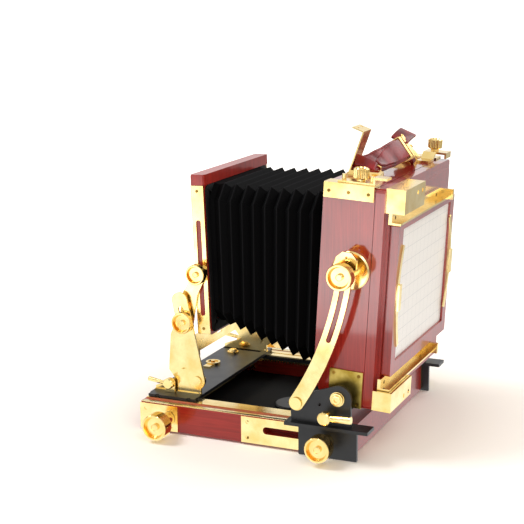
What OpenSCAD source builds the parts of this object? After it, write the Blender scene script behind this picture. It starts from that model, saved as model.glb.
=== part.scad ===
// Folding field camera for sheets of 4 by 5 inches, opened out and ready to use.
// Millimetres. Z is up, the lens looks along -Y, and +X is the operator's left.
// The origin is the middle of the tripod bush, in the plane that the camera stands on.

/* [Bed] */
// Width of the wooden bed
bed_w = 172; // [166:1:180]
// Length of the wooden bed
bed_l = 172; // [166:1:180]
// Height of the wooden bed
bed_h = 21; // [19:0.5:24]
// Thickness of the bed's side walls
bed_side_t = 15; // [12:0.5:16]
// Thickness of the bed's rear wall
bed_rear_t = 15; // [12:0.5:16]
// Height of the low wall at the front of the bed
bed_sill_h = 13; // [10:0.5:13.5]
// Thickness of the bed's floor board
floor_t = 3; // [2:0.5:4]
// Distance from the tripod bush to the rear end of the bed
bush_to_rear = 80; // [76:1:86]
// Thickness of the tripod plate under the bed
tripod_plate_t = 1.5; // [1:0.25:2.5]
// Width and length of the tripod plate
tripod_plate_w = 112; // [90:1:120]
// Radius of the thread in the tripod bush
tripod_thread_r = 4.76; // [3.1:0.01:4.8]
// Radius of the boss round the tripod bush
tripod_boss_r = 15; // [12:0.5:18]
// Height of that boss above the floor board
tripod_boss_h = 2; // [1:0.5:3]
// Thickness of the brass strips on the bed's inner top edges
bed_rail_t = 0.8; // [0.6:0.1:1]
// Width of those strips
bed_rail_w = 5.5; // [4:0.5:7]
// Thickness of the brass plates on the bed's sides
bed_plate_t = 1.2; // [0.8:0.1:1.4]
// Length of the front plates on the bed's sides
front_plate_l = 32; // [28:1:36]
// Length of the rear plates on the bed's sides
rear_plate_l = 86; // [80:1:88]
// Radius of the bed's outer corners
bed_corner_r = 2; // [1:0.5:4]

/* [Focusing] */
// Width of each side rail of the sliding track
track_rail_w = 8.2; // [7:0.1:8.2]
// Thickness of the track's rails
track_t = 3; // [2.6:0.1:3.4]
// Width of the brass strips on the track
track_strip_w = 7; // [5:0.5:9]
// Thickness of those strips
track_strip_t = 0.6; // [0.4:0.1:0.8]
// Length of the track
track_l = 150; // [140:1:155]
// Running gap between the track and the bed
track_gap = 0.3; // [0.2:0.05:0.5]
// Module of the focusing gear
gear_module = 0.8; // [0.7:0.05:0.9]
// Number of teeth on the focusing pinions
pinion_teeth = 12; // [10:1:14]
// Width of the racks
rack_w = 4; // [3:0.5:6]
// Radius of the focusing shaft
shaft_r = 2.5; // [2:0.1:2.8]
// Distance from the bed's front end to the focusing shaft
shaft_back = 25; // [22:0.5:28]
// Radius of the focusing knobs
focus_knob_r = 10; // [8:0.5:10.5]
// How far the focusing knobs stand out from the bed
focus_knob_out = 26; // [22:0.5:28]

/* [Front standard] */
// Thickness of the black base plate
base_t = 2.6; // [2:0.1:3]
// Length of the black base plate along the bed
base_l = 41; // [39:0.5:44]
// Thickness of the brass plates of the front standard
brass_t = 1.7; // [1.4:0.1:1.7]
// Gap between plates that slide on each other
plate_gap = 0.3; // [0.2:0.05:0.3]
// Distance from the bed's front end to the hinge of the uprights
front_hinge_back = 30.5; // [30:0.1:31.5]
// Height of that hinge above the base plate
front_hinge_h = 12.8; // [12.6:0.1:13.4]
// Height of the tilt knobs above the hinge
tilt_stud_h = 44.8; // [43:0.2:46]
// Height of the rise knobs above the hinge
rise_stud_h = 83.6; // [80:0.2:86]
// Distance of the rise knobs behind the hinge
rise_stud_back = 10.5; // [10.2:0.1:10.8]
// Half the width of the front frame
frame_half_w = 58.8; // [57:0.1:58.8]
// Thickness of the front frame
frame_t = 10.5; // [9:0.25:11]
// Distance from the rise knobs down to the foot of the front frame
frame_down = 49.2; // [47:0.2:50]
// Distance from the rise knobs up to the top of the front frame
frame_up = 74.5; // [70:0.5:78]
// Forward lean of the front frame in degrees
frame_lean = 2.1; // [1:0.1:3]
// Width of the square window behind the lens board
frame_window = 84; // [78:1:88]
// Width of the lens board
board_w = 96; // [92:1:98]
// Thickness of the lens board
board_t = 2; // [1.5:0.25:3]
// Radius of the shutter hole in the lens board
shutter_r = 17.3; // [12:0.1:21]
// Thickness of the brass plates on the frame's sides
side_strip_t = 1.2; // [1:0.1:1.3]
// Width of those plates
side_strip_w = 10.4; // [9:0.2:10.4]
// Width of their slots
slot_w = 4; // [3.4:0.2:4.6]
// How far the front frame can be raised
rise_up = 28; // [20:1:28]
// How far the front frame can be lowered
rise_down = 34; // [24:1:34]
// Radius of the tilt knobs
tilt_knob_r = 8.3; // [7:0.1:8.6]
// Radius of the rise knobs
rise_knob_r = 7.8; // [7:0.1:8.4]

/* [Bellows] */
// Number of pleats
pleats = 12; // [9:1:14]
// Depth of a pleat
pleat_depth = 5; // [3:0.5:6]
// Thickness of the folded material
bellows_wall = 0.9; // [0.7:0.1:1.5]
// Half the width of the bellows at the front
bellows_front_half = 49; // [46:0.5:52]
// Half the width of the bellows at the back
bellows_rear_half = 71; // [68:0.5:71.4]

/* [Rear standard] */
// Width of the wooden rear box
box_w = 160; // [156:1:162]
// Height of the rear box above its hinge
box_up = 152.4; // [146:0.2:158]
// Distance that the rear box reaches below its hinge
box_down = 9; // [8:0.2:10]
// Distance that the rear box reaches in front of its hinge
box_front = 23.7; // [22:0.1:23.7]
// Distance that the rear box reaches behind its hinge
box_back = 14.5; // [13:0.25:16]
// Thickness of the rear box's walls
box_wall = 8; // [7:0.25:8]
// Rearward lean of the rear standard in degrees
rear_lean = 3.11; // [0:0.01:5]
// Distance from the bed's rear end to the hinge of the rear box
rear_hinge_in = 8.25; // [7:0.25:12]
// Height of that hinge above the bed
rear_hinge_h = 24.17; // [24:0.01:26]
// Thickness of the brass plates on the rear box
box_plate_t = 1.2; // [0.8:0.1:1.4]
// Radius of the round boss plates behind the arm knobs
boss_r = 14; // [11:0.5:16]
// Thickness of those boss plates
boss_t = 3; // [2:0.25:3.5]

/* [Rear carriage] */
// Thickness of the black plates that carry the rear standard
bracket_t = 2.5; // [2:0.1:3]
// Length of the lower plate of a carriage
lower_plate_l = 45; // [40:1:48]
// Length of the flange of a carriage
flange_l = 64; // [58:1:68]
// Height of the clamping slot above the bed's underside
lock_slot_h = 11.7; // [10:0.1:12.5]
// Radius of the rear lock knobs
lock_knob_r = 9.5; // [8:0.5:10]
// Face of the rear lock knobs from the middle of the camera
lock_knob_face = 112; // [108:0.5:114]

/* [Arms] */
// Radius of the arc that the arms follow
arm_arc_r = 236; // [230:1:244]
// Width of the arms
arm_w = 11.2; // [10:0.2:12]
// Thickness of the arms
arm_t = 2.2; // [1.8:0.1:2.4]
// Distance from the arms' hinge forward of the rear hinge
arm_hinge_fwd = 31.15; // [30:0.25:32]
// Distance from the arms' hinge down from the rear hinge
arm_hinge_down = 6.27; // [6:0.01:6.8]
// Height of the arm knobs above the rear hinge
arm_stud_h = 92.3; // [90:0.1:94]
// Radius of the arm knobs
arm_knob_r = 9.5; // [8:0.5:10]

/* [Back] */
// Thickness of the reversible back's frame
back_t = 7; // [6:0.25:8]
// Thickness of the raised panel on the reversible back
panel_t = 2; // [1.5:0.25:2.5]
// Width of the ground-glass frame's sides
glass_side_rim = 10; // [8:0.5:11]
// Width of the ground-glass frame's upper rim
glass_top_rim = 4.9; // [4:0.1:5.5]
// Width of the ground-glass frame's lower rim
glass_low_rim = 9.8; // [8:0.1:10.5]
// Thickness of the ground-glass frame
glass_frame_t = 6.5; // [5:0.25:7]
// Height of the ground-glass frame's lower edge above the rear hinge
glass_frame_low = 15; // [14:0.25:16]
// Width of the ground glass that shows
glass_w = 120; // [116:1:124]
// Height of the ground glass that shows
glass_h = 97.3; // [92:0.1:100]
// Thickness of the ground glass
glass_t = 2; // [1.5:0.25:2.5]
// Depth of the brass lock blocks
lock_block_t = 14; // [12:0.25:15]
// Width of the slide bars
slide_h = 8; // [6:0.5:8.5]
// How far the top slide bar reaches past the middle of the camera
top_slide_reach = 44; // [38:1:50]
// How far the bottom slide bar reaches past the middle of the camera
bottom_slide_reach = 32; // [26:1:40]

/* [Top fittings] */
// Height of the handle over its seat
handle_rise = 17; // [13:0.5:19]
// Width of the leather handle
handle_w = 21; // [17:0.5:23]
// Thickness of the leather handle
handle_t = 4.4; // [3:0.2:5]
// Half the length between the handle's fixings
handle_half_l = 38; // [34:1:42]
// Width of the springy catch beside the handle
latch_w = 16; // [12:0.5:18]
// Height of that catch
latch_h = 33; // [28:0.5:36]

/* [Hidden] */
$fn = 48;
// Overlap that a cut takes past a face
cut = 1;
// Radial clearance of a pin in its bore
fit = 0.05;

// Levels and ends of the bed
bed_bottom = tripod_plate_t;
bed_top = bed_bottom + bed_h;
bed_rear = bush_to_rear;
bed_front = bed_rear - bed_l;
bed_half = bed_w / 2;
bed_inner = bed_half - bed_side_t;
floor_top = bed_bottom + floor_t;
rail_top = bed_top + bed_rail_t;
lock_slot_z = bed_bottom + lock_slot_h;
lock_stud_r = 2.6;

// Levels of the track and its gear
track_top = bed_top - 0.2;
track_bottom = track_top - track_t;
track_half = bed_inner - track_gap;
strip_top = track_top + track_strip_t;
rack_x = track_half - track_rail_w / 2 - rack_w / 2;
rack_back_t = 1.2;
pitch_r = gear_module * pinion_teeth / 2;
tooth_pitch = PI * gear_module;
shaft_y = bed_front + shaft_back;
shaft_z = track_bottom - rack_back_t - 1.25 * gear_module - pitch_r;
shaft_collar_t = 1.5;
knob_inner_x = bed_half + bed_plate_t + 0.4;
focus_knob_head = 11;

// Base plate and the layers of the front standard, from the frame outwards
base_bottom = strip_top + 0.1;
base_top = base_bottom + base_t;
base_rear = bed_front + base_l;
base_half = bed_inner - 0.6;
strip_x = frame_half_w + side_strip_t;
upright_x = strip_x + plate_gap;
foot_x = upright_x + brass_t + plate_gap;
brace_x = foot_x + brass_t + plate_gap;
tilt_knob_x = brace_x + brass_t + plate_gap;
front_limit_x = box_w / 2 - box_wall - 0.6;
hinge_y = bed_front + front_hinge_back;
hinge_z = base_top + front_hinge_h;
brace_pin = [hinge_y + 8.5, hinge_z - 1.2];
tilt_stud = [hinge_y - 1.8, hinge_z + tilt_stud_h];
rise_stud = [hinge_y + rise_stud_back, hinge_z + rise_stud_h];
brace_len = norm(tilt_stud - brace_pin);
brace_dir = (tilt_stud - brace_pin) / brace_len;
hinge_pin_r = 2.4;
tilt_stud_r = 1.5;
rise_stud_r = 1.7;
brace_slot_half = 2.5;
brace_half = 6.5;
brace_slot_start = brace_len - 5;
brace_slot_end = brace_len + 10;
brace_l = 64;
guide_h = 8;
slot_up = rise_down + guide_h / 2 + slot_w / 2;
slot_down = rise_up + guide_h / 2 + slot_w / 2;
upright_reach = 17.5;
upright_slot_gap = 0.25;
web_y = hinge_y + 2.8;
web_t = 1.5;
web_low = hinge_z + 15;
web_high = hinge_z + 33;
lever_place = [hinge_y - 14.5, base_top + 7.9];
board_z = (frame_up - frame_down) / 2;
cap_h = 8;
cap_over = 1.3;

// Hinge of the rear box and sizes that follow it
rear_y = bed_rear - rear_hinge_in;
rear_z = bed_top + rear_hinge_h;
box_half = box_w / 2;
box_inner = box_half - box_wall;
box_mid_z = (box_up - box_down) / 2;
rear_pin_r = 3.5;
bracket_outer_x = 91.5;
bracket_x = bracket_outer_x - bracket_t;
lower_plate_x = bed_half + bed_plate_t + 0.3;
flange_bottom = rail_top + 0.2;
flange_top = flange_bottom + bracket_t;
lock_y = rear_y - 8.55;
arm_x = bracket_outer_x + plate_gap;
arm_pin = [rear_y - arm_hinge_fwd, rear_z - arm_hinge_down];
arm_pin_r = 2.2;

// Arc of the arms: the stud stands on it, and so does the arms' hinge
arm_stud = [rear_y + arm_stud_h * sin(rear_lean) + 0.4 * cos(rear_lean),
            rear_z + arm_stud_h * cos(rear_lean) - 0.4 * sin(rear_lean)];
arm_chord = norm(arm_stud - arm_pin);
chord_dir = (arm_stud - arm_pin) / arm_chord;
arc_drop = sqrt(arm_arc_r * arm_arc_r - arm_chord * arm_chord / 4);
arc_centre = (arm_stud + arm_pin) / 2 + arc_drop * [-chord_dir[1], chord_dir[0]];
arc_start = atan2(arm_pin[1] - arc_centre[1], arm_pin[0] - arc_centre[0]);
arc_stud = atan2(arm_stud[1] - arc_centre[1], arm_stud[0] - arc_centre[0]);
arc_deg = 180 / (PI * arm_arc_r);
arm_slot_half = 1.85;
arm_stud_r = 1.6;
arm_slot_start = arc_start + 55.4 * arc_deg;
arm_slot_end = arc_stud + 3 * arc_deg;
arm_end = arc_stud + 8 * arc_deg;

// Levels of the back, behind the hinge of the rear box
handle_mid_y = -3.5;
handle_seat = box_up + 3.4;
latch_x = 35;
latch_lip = 9;
latch_hinge = [-box_front + 4.5, box_up + 1.4];

// The hooked plates under the top knobs: the left one bends over the back, the right one steps up first
hook_t = 1.6;
hook_y = box_back - 1;
hook_end = box_back + 7.5;
step_from = 46;
step_x = 59;
step_top = box_up + 6.2;

// Ends of the bellows in the two standards
bellows_start = [rise_stud[0] + (frame_t / 2 + 0.3) * cos(frame_lean) - board_z * sin(frame_lean),
                 rise_stud[1] + board_z * cos(frame_lean)];
bellows_end = [rear_y - 6 + box_mid_z * sin(rear_lean), rear_z + box_mid_z];
back_face = box_back + 0.3 + back_t;
panel_face = back_face + panel_t;
back_half = box_half - 0.2;
panel_edge = 6.3;
panel_half = back_half - panel_edge;
panel_h = box_up + box_down - 0.4 - 2 * panel_edge;
glass_frame_half_w = glass_w / 2 + glass_side_rim;
glass_frame_h = glass_h + glass_top_rim + glass_low_rim;
top_slide_z = glass_frame_low + glass_frame_h + 0.3;
bottom_slide_z = glass_frame_low - 0.3 - slide_h;
glass_frame_y = panel_face + 0.3;
glass_frame_face = glass_frame_y + glass_frame_t;
glass_mid_z = glass_frame_low + glass_low_rim + glass_h / 2;
glass_y = glass_frame_face - 1.8 - glass_t;
glass_seat = 2.5;
runner_t = 2.4;
runner_lip = 9;
runner_lip_t = 1.4;
slide_tab = 13;
slide_tab_l = 3.4;

// A piece on the operator's left, or its mirror image on the right
module on_side(side) {
    if (side == "left") children();
    else mirror([1, 0, 0]) children();
}

module both_sides() {
    children();
    mirror([1, 0, 0]) children();
}

// An outline drawn as seen from the left, [y, z], made into a plate from x on
module side_plate(x, t) {
    translate([x, 0, 0]) rotate([90, 0, 90]) linear_extrude(t) children();
}

// A pin or bore along X from x on, at a [y, z] place
module x_pin(x, l, place, r, sides = $fn) {
    translate([x, place[0], place[1]]) rotate([0, 90, 0]) cylinder(h = l, r = r, $fn = sides);
}

// A rectangle about its middle, with round corners
module round_rect(w, l, r) {
    square([w - 2 * r, l], center = true);
    square([w, l - 2 * r], center = true);
    for (x = [-1, 1], y = [-1, 1])
        translate([x * (w / 2 - r), y * (l / 2 - r)]) circle(r);
}

// A band with round ends from one point to another
module band(from, to, half) {
    span = norm(to - from);
    translate(from) rotate(atan2(to[1] - from[1], to[0] - from[0])) {
        translate([0, -half]) square([span, 2 * half]);
        circle(half);
        translate([span, 0]) circle(half);
    }
}

// Part of a ring between two angles, with flat ends
module arc_band(centre, r, half, from, to) {
    reach = 2 * r;
    translate(centre) intersection() {
        difference() {
            circle(r + half, $fn = 180);
            circle(r - half, $fn = 180);
        }
        polygon([[0, 0], reach * [cos(from), sin(from)], reach * [cos((from + to) / 2), sin((from + to) / 2)],
            reach * [cos(to), sin(to)]]);
    }
}

// The frame of the rear box, whose origin is on its hinge
module rear_local() {
    translate([0, rear_y, rear_z]) rotate([-rear_lean, 0, 0]) children();
}

// The frame of the front standard's wooden frame, whose origin is on the rise knobs' axis
module front_local() {
    translate([0, rise_stud[0], rise_stud[1]]) rotate([frame_lean, 0, 0]) children();
}

// A turned knob along +Z with a dished face, a small middle screw and a milled rim
module dished_knob(r, stem_r, stem_h, total_h, mills = 40) {
    rim = 0.12 * r;
    rotate_extrude() polygon([[0, 0], [stem_r, 0], [stem_r, stem_h], [r - 1.2, stem_h], [r - 0.4, stem_h + 0.8],
        [r - 0.4, total_h - 0.8], [r - 1.2, total_h], [r - 1.2 - rim, total_h], [0.5 * r, total_h - 0.28 * r],
        [0.3 * r, total_h - 0.28 * r], [0.3 * r, total_h - 0.1 * r], [0, total_h - 0.1 * r]]);
    translate([0, 0, stem_h + 0.8]) linear_extrude(total_h - stem_h - 1.6) difference() {
        polygon([for (i = [0 : 2 * mills - 1]) (r - (i % 2) * 0.5) * [cos(i * 180 / mills), sin(i * 180 / mills)]]);
        circle(r - 1);
    }
}

module bed_frame() {
    wood_z = bed_bottom + bed_sill_h;
    color("firebrick") difference() {
        translate([0, (bed_front + bed_rear) / 2, bed_bottom]) linear_extrude(bed_h)
            round_rect(bed_w, bed_l, bed_corner_r);
        translate([-bed_inner, bed_front + bed_rear_t, floor_top - floor_t - cut])
            cube([2 * bed_inner, bed_l - 2 * bed_rear_t, bed_h + 2 * cut]);
        translate([-bed_inner, bed_front - cut, wood_z])
            cube([2 * bed_inner, bed_rear_t + 2 * cut, bed_h]);
        x_pin(-bed_half - cut, bed_w + 2 * cut, [shaft_y, shaft_z], shaft_r + fit);
        both_sides() side_plate(bed_half - 8, 8 + cut)
            band([bed_rear - rear_plate_l + 20, lock_slot_z], [bed_rear - 12, lock_slot_z], lock_stud_r + 0.4);
    }
}

module bed_floor() {
    color("black") difference() {
        translate([-bed_inner, bed_front + bed_rear_t, bed_bottom])
            cube([2 * bed_inner, bed_l - 2 * bed_rear_t, floor_t]);
        translate([0, 0, bed_bottom - cut]) cylinder(h = floor_t + 2 * cut, r = tripod_boss_r);
    }
}

module tripod_plate() {
    boss_top = floor_top + tripod_boss_h;
    color("dimgray") difference() {
        union() {
            linear_extrude(tripod_plate_t) round_rect(tripod_plate_w, tripod_plate_w, 6);
            cylinder(h = boss_top - 1, r = tripod_boss_r);
            translate([0, 0, boss_top - 1]) cylinder(h = 1, r1 = tripod_boss_r, r2 = tripod_boss_r - 1);
        }
        translate([0, 0, -cut]) cylinder(h = boss_top + 2 * cut, r = tripod_thread_r);
        for (x = [-1, 1], y = [-1, 1])
            translate([x * (tripod_plate_w / 2 - 8), y * (tripod_plate_w / 2 - 8), -cut])
                cylinder(h = tripod_plate_t + 2 * cut, r = 1.6, $fn = 24);
    }
}

// One plate on a bed's side, screwed on at its corners
module bed_plate(from, l) {
    difference() {
        side_plate(bed_half, bed_plate_t) translate([from, bed_bottom + 0.4]) square([l, bed_h - 0.8]);
        for (y = [from + 5, from + l - 5], z = [bed_bottom + 4.5, bed_top - 4.5])
            x_pin(bed_half + bed_plate_t - 0.5, cut, [y, z], 1.4, 20);
    }
}

module bed_side_plates() {
    color("gold") both_sides() difference() {
        bed_plate(bed_front + 0.4, front_plate_l);
        x_pin(bed_half - cut, 2 * cut + bed_plate_t, [shaft_y, shaft_z], shaft_r + 0.3);
    }
    color("gold") both_sides() difference() {
        bed_plate(bed_rear - rear_plate_l - 0.4, rear_plate_l);
        side_plate(bed_half - cut, 2 * cut + bed_plate_t)
            band([bed_rear - rear_plate_l + 20, lock_slot_z], [bed_rear - 12, lock_slot_z], lock_stud_r + 0.2);
    }
}

module bed_rails() {
    color("gold") both_sides() translate([bed_inner, bed_front + 0.4, bed_top])
        cube([bed_rail_w, bed_l - bed_rear_t - 2, bed_rail_t]);
}

// The track slides in the bed: two rails joined by a bar at each end
module track_frame() {
    end_bar = 9;
    color("black") difference() {
        translate([-track_half, bed_front + 0.4, track_bottom]) cube([2 * track_half, track_l, track_t]);
        translate([track_rail_w - track_half, bed_front + 0.4 + end_bar, track_bottom - cut])
            cube([2 * (track_half - track_rail_w), track_l - 2 * end_bar, track_t + 2 * cut]);
    }
}

module track_strips() {
    color("gold") both_sides() translate([track_half - track_strip_w, bed_front + 0.4, track_top])
        cube([track_strip_w, track_l, track_strip_t]);
}

// Teeth with straight flanks in a rack or, turned round the shaft, in a pinion
module tooth(base) {
    half_low = tooth_pitch * 0.36;
    half_high = tooth_pitch * 0.13;
    polygon([[-half_low, -base], [half_low, -base], [half_low, 0], [half_high, 2 * gear_module],
        [-half_high, 2 * gear_module], [-half_low, 0]]);
}

module focus_racks() {
    teeth = floor((track_l - 8) / tooth_pitch);
    root_z = track_bottom - rack_back_t;
    rack_l = teeth * tooth_pitch;
    // The rack's first gap lies so that a pinion tooth points straight up into one
    first = shaft_y + tooth_pitch / 2 - floor((shaft_y - bed_front - 4) / tooth_pitch) * tooth_pitch;
    color("gold") both_sides() side_plate(rack_x, rack_w) {
        translate([first - tooth_pitch / 2, root_z]) square([rack_l, rack_back_t]);
        for (i = [0 : teeth - 1])
            translate([first + i * tooth_pitch, root_z]) rotate(180) tooth(0.2);
    }
}

module pinion_shaft() {
    root_r = pitch_r - 1.25 * gear_module;
    color("gold") {
        x_pin(-knob_inner_x, 2 * knob_inner_x, [shaft_y, shaft_z], shaft_r);
        both_sides() side_plate(rack_x - 0.5, rack_w + 1) translate([shaft_y, shaft_z]) {
            circle(root_r);
            for (i = [0 : pinion_teeth - 1])
                rotate(i * 360 / pinion_teeth) translate([0, root_r]) scale([0.86, 1]) tooth(0.6);
        }
        both_sides() x_pin(bed_inner - 0.3 - shaft_collar_t, shaft_collar_t, [shaft_y, shaft_z], shaft_r + 1.3);
    }
}

module focus_knob() {
    total_h = bed_half + focus_knob_out - knob_inner_x;
    color("gold") translate([knob_inner_x, shaft_y, shaft_z]) rotate([0, 90, 0])
        dished_knob(focus_knob_r, 0.52 * focus_knob_r, total_h - focus_knob_head, total_h);
}

module focus_knob_left() on_side("left") focus_knob();
module focus_knob_right() on_side("right") focus_knob();

// The black plate that slides on the track has slots where the uprights swing down
module base_plate() {
    slot_x = upright_x - upright_slot_gap;
    color("black") difference() {
        translate([-base_half, bed_front + 0.4, base_bottom]) cube([2 * base_half, base_l, base_t]);
        both_sides() translate([slot_x, bed_front - cut, base_bottom - cut])
            cube([brass_t + 2 * upright_slot_gap, hinge_y + 5.5 + cut - bed_front, base_t + 2 * cut]);
    }
}

module base_foot() {
    heel = base_rear + 0.4;
    side_plate(foot_x, brass_t) difference() {
        union() {
            polygon([[bed_front + 2, base_top], [bed_front + 2, base_top + 3.5],
                [hinge_y - 14, base_top + 9], [hinge_y - 6, hinge_z + 6.5], [brace_pin[0] + 2, hinge_z + 5.5],
                [heel, brace_pin[1] + 2], [heel, base_top]]);
            translate([hinge_y, hinge_z]) circle(7.5);
            translate(brace_pin) circle(6);
        }
        translate([heel - 1.5, base_top + 1.5]) circle(0.8, $fn = 16);
    }
    translate([foot_x, bed_front + 2, base_top]) cube([2 * brass_t, heel - bed_front - 2, 1.4]);
}

// The feet carry the hinge pins: those of the uprights point inwards, those of the braces outwards
module base_feet() {
    color("gold") both_sides() {
        base_foot();
        x_pin(upright_x + 0.1, foot_x - upright_x, [hinge_y, hinge_z], hinge_pin_r);
        x_pin(foot_x + brass_t - 0.1, 0.3, [hinge_y, hinge_z], 2.6);
        x_pin(foot_x + brass_t - 0.1, brass_t + plate_gap + 0.4, brace_pin, hinge_pin_r);
        x_pin(brace_x + brass_t + 0.2, 1.2, brace_pin, 3.8);
    }
}

// A black strip on each side that keeps the base plate down on the bed, with an ear for its lever
module clamp_strips() {
    strip_z = rail_top + 0.3;
    ear_x = brace_x + brass_t + 0.2;
    color("black") both_sides() {
        difference() {
            translate([base_half, bed_front + 1.5, strip_z]) cube([5, base_l - 1.5, base_top - strip_z]);
            for (y = [bed_front + 9, base_rear - 5])
                translate([base_half + 5, y, strip_z - cut]) cylinder(h = 2 * base_t, r = 1.6);
        }
        side_plate(ear_x, 1.2) difference() {
            union() {
                translate([lever_place[0], lever_place[1]]) circle(4.2);
                translate([lever_place[0] - 4.2, base_top]) square([8.4, lever_place[1] - base_top]);
            }
            translate(lever_place) circle(1.5);
        }
    }
}

module base_tab() {
    color("gold") translate([-15, hinge_y - 17, base_top]) {
        difference() {
            cylinder(h = 2, r = 6);
            translate([0, 0, 1.2]) cylinder(h = 2, r = 4.4);
        }
        translate([4, -3, 0]) cube([9, 6, 1.2]);
        cylinder(h = 2.8, r = 1.8);
    }
}

module base_button() {
    color("gold") translate([-50, hinge_y - 15, base_top]) rotate_extrude()
        polygon([[0, 0], [4.8, 0], [4.8, 1.4], [3.4, 1.4], [3.2, 3], [2.6, 3.4], [0, 3.4]]);
}

// A turned hub with a tapered handle, drawn along +X from its ear
module lever(l, hub_r, hub_t, stem_l, stem_r) {
    rotate([0, 90, 0]) rotate_extrude() polygon([[0, 0], [stem_r, 0], [stem_r, stem_l], [hub_r - 0.6, stem_l],
        [hub_r, stem_l + 0.6], [hub_r, stem_l + hub_t - 0.6], [hub_r - 0.8, stem_l + hub_t], [0, stem_l + hub_t]]);
    translate([stem_l + hub_t / 2, 0, 0]) rotate([90, 0, 0])
        cylinder(h = l, r1 = 0.36 * hub_t, r2 = 0.48 * hub_t, $fn = 28);
}

module front_lever() {
    stem_x = brace_x + brass_t + 0.2;
    stem_l = 1.5;
    color("gold") translate([stem_x, lever_place[0], lever_place[1]]) rotate([-8, 0, 0])
        lever(17, 4.3, front_limit_x - stem_x - stem_l, stem_l, 1.4);
}

module front_lever_left() on_side("left") front_lever();
module front_lever_right() on_side("right") front_lever();

// An upright: a tapered plate from the hinge to the tilt knob, then a bent neck to the rise knob
module upright_outline() {
    neck = [(tilt_stud[0] + rise_stud[0]) / 2 - 2.6, (tilt_stud[1] + rise_stud[1]) / 2 + 1.5];
    polygon([[hinge_y - upright_reach, hinge_z + 4.5], [hinge_y - upright_reach + 2, web_high],
        [tilt_stud[0] - 6.5, tilt_stud[1] + 4], [tilt_stud[0] + 6, tilt_stud[1] - 3], [hinge_y - 1, hinge_z + 16],
        [hinge_y + 7.5, hinge_z], [hinge_y - 9, hinge_z - 6]]);
    translate([hinge_y, hinge_z]) circle(7.5);
    band(tilt_stud, neck, 6);
    band(neck, rise_stud, 5.5);
}

module upright() {
    difference() {
        union() {
            side_plate(upright_x, brass_t) upright_outline();
            x_pin(upright_x, 2 * brass_t + plate_gap, tilt_stud, 4.6);
        }
        x_pin(upright_x - cut, 2 * cut + brass_t, [hinge_y, hinge_z], hinge_pin_r + fit);
        x_pin(upright_x - cut, 2 * cut + 2 * brass_t + plate_gap, tilt_stud, tilt_stud_r + fit);
        x_pin(upright_x - cut, 2 * cut + brass_t, rise_stud, rise_stud_r + fit);
    }
}

module upright_left() color("gold") on_side("left") upright();
module upright_right() color("gold") on_side("right") upright();

// The web that ties the uprights, with a small index window
module upright_web() {
    index_x = 11;
    foot_w = 9;
    color("gold") difference() {
        translate([-upright_x, web_y, web_low]) cube([2 * upright_x, web_t, web_high - web_low]);
        translate([index_x, web_y - cut, (web_low + web_high) / 2]) cube([9, web_t + 2 * cut, 2]);
        translate([-upright_x + foot_w, web_y - cut, web_low - cut])
            cube([2 * (upright_x - foot_w), web_t + 2 * cut, 4 + cut]);
    }
}

module brace() {
    tip = brace_pin + brace_l * brace_dir;
    color("gold") difference() {
        side_plate(brace_x, brass_t) difference() {
            band(brace_pin, tip, brace_half);
            band(brace_pin + brace_slot_start * brace_dir, brace_pin + brace_slot_end * brace_dir, brace_slot_half);
        }
        x_pin(brace_x - cut, brass_t + 2 * cut, brace_pin, hinge_pin_r + fit);
    }
}

module brace_left() on_side("left") brace();
module brace_right() on_side("right") brace();

// Blocks on the rise studs that keep the frame's slots in line
module frame_guides() {
    color("gold") both_sides() front_local() difference() {
        translate([frame_half_w + 0.1, 0.1 - slot_w / 2, -guide_h / 2])
            cube([upright_x - frame_half_w - 0.1, slot_w - 0.2, guide_h]);
        x_pin(frame_half_w, 2, [0, 0], rise_stud_r + fit);
    }
}

// A plate square to the line of sight, drawn as seen from behind and made from y on towards +Y
module cross_plate(y, t) {
    translate([0, y + t, 0]) rotate([90, 0, 0]) linear_extrude(t) children();
}

module front_frame() {
    height = frame_up + frame_down;
    color("firebrick") front_local() difference() {
        union() {
            cross_plate(-frame_t / 2, frame_t) translate([0, board_z]) round_rect(2 * frame_half_w, height, 2);
            translate([0, cap_over / 2, frame_up - cap_h]) linear_extrude(cap_h)
                round_rect(2 * (frame_half_w + cap_over - 0.3), frame_t + cap_over, 2);
        }
        cross_plate(-frame_t, 2 * frame_t) translate([0, board_z]) square(frame_window, center = true);
        cross_plate(-frame_t / 2 - 2, 2 + board_t + 0.2) translate([0, board_z])
            square(board_w + 0.6, center = true);
    }
}

module frame_side_plates() {
    color("gold") front_local() both_sides() difference() {
        side_plate(frame_half_w, side_strip_t) difference() {
            translate([-side_strip_w / 2, 1 - frame_down]) square([side_strip_w, frame_down + frame_up - cap_h - 1.4]);
            band([0, -slot_down + slot_w / 2], [0, slot_up - slot_w / 2], slot_w / 2);
        }
        for (z = [5 - frame_down, frame_up - cap_h - 4.5])
            x_pin(frame_half_w + side_strip_t - 0.5, cut, [0, z], 1.3, 20);
    }
}

module lens_board() {
    color("black") front_local() difference() {
        cross_plate(-frame_t / 2 + 0.2, board_t) translate([0, board_z]) round_rect(board_w, board_w, 2);
        translate([0, -frame_t, board_z]) rotate([-90, 0, 0]) cylinder(h = 2 * frame_t, r = shutter_r);
    }
}

// The latch that holds the lens board's upper edge
module board_latch() {
    color("gold") front_local() difference() {
        cross_plate(-frame_t / 2 - 1.4, 1.3) translate([-22, board_z + board_w / 2 - 3]) square([44, 8.4]);
        for (x = [-14, 14]) translate([x, 0, board_z + board_w / 2 + 2]) rotate([90, 0, 0])
            cylinder(h = frame_t, r = 1.4, $fn = 24);
    }
}

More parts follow.
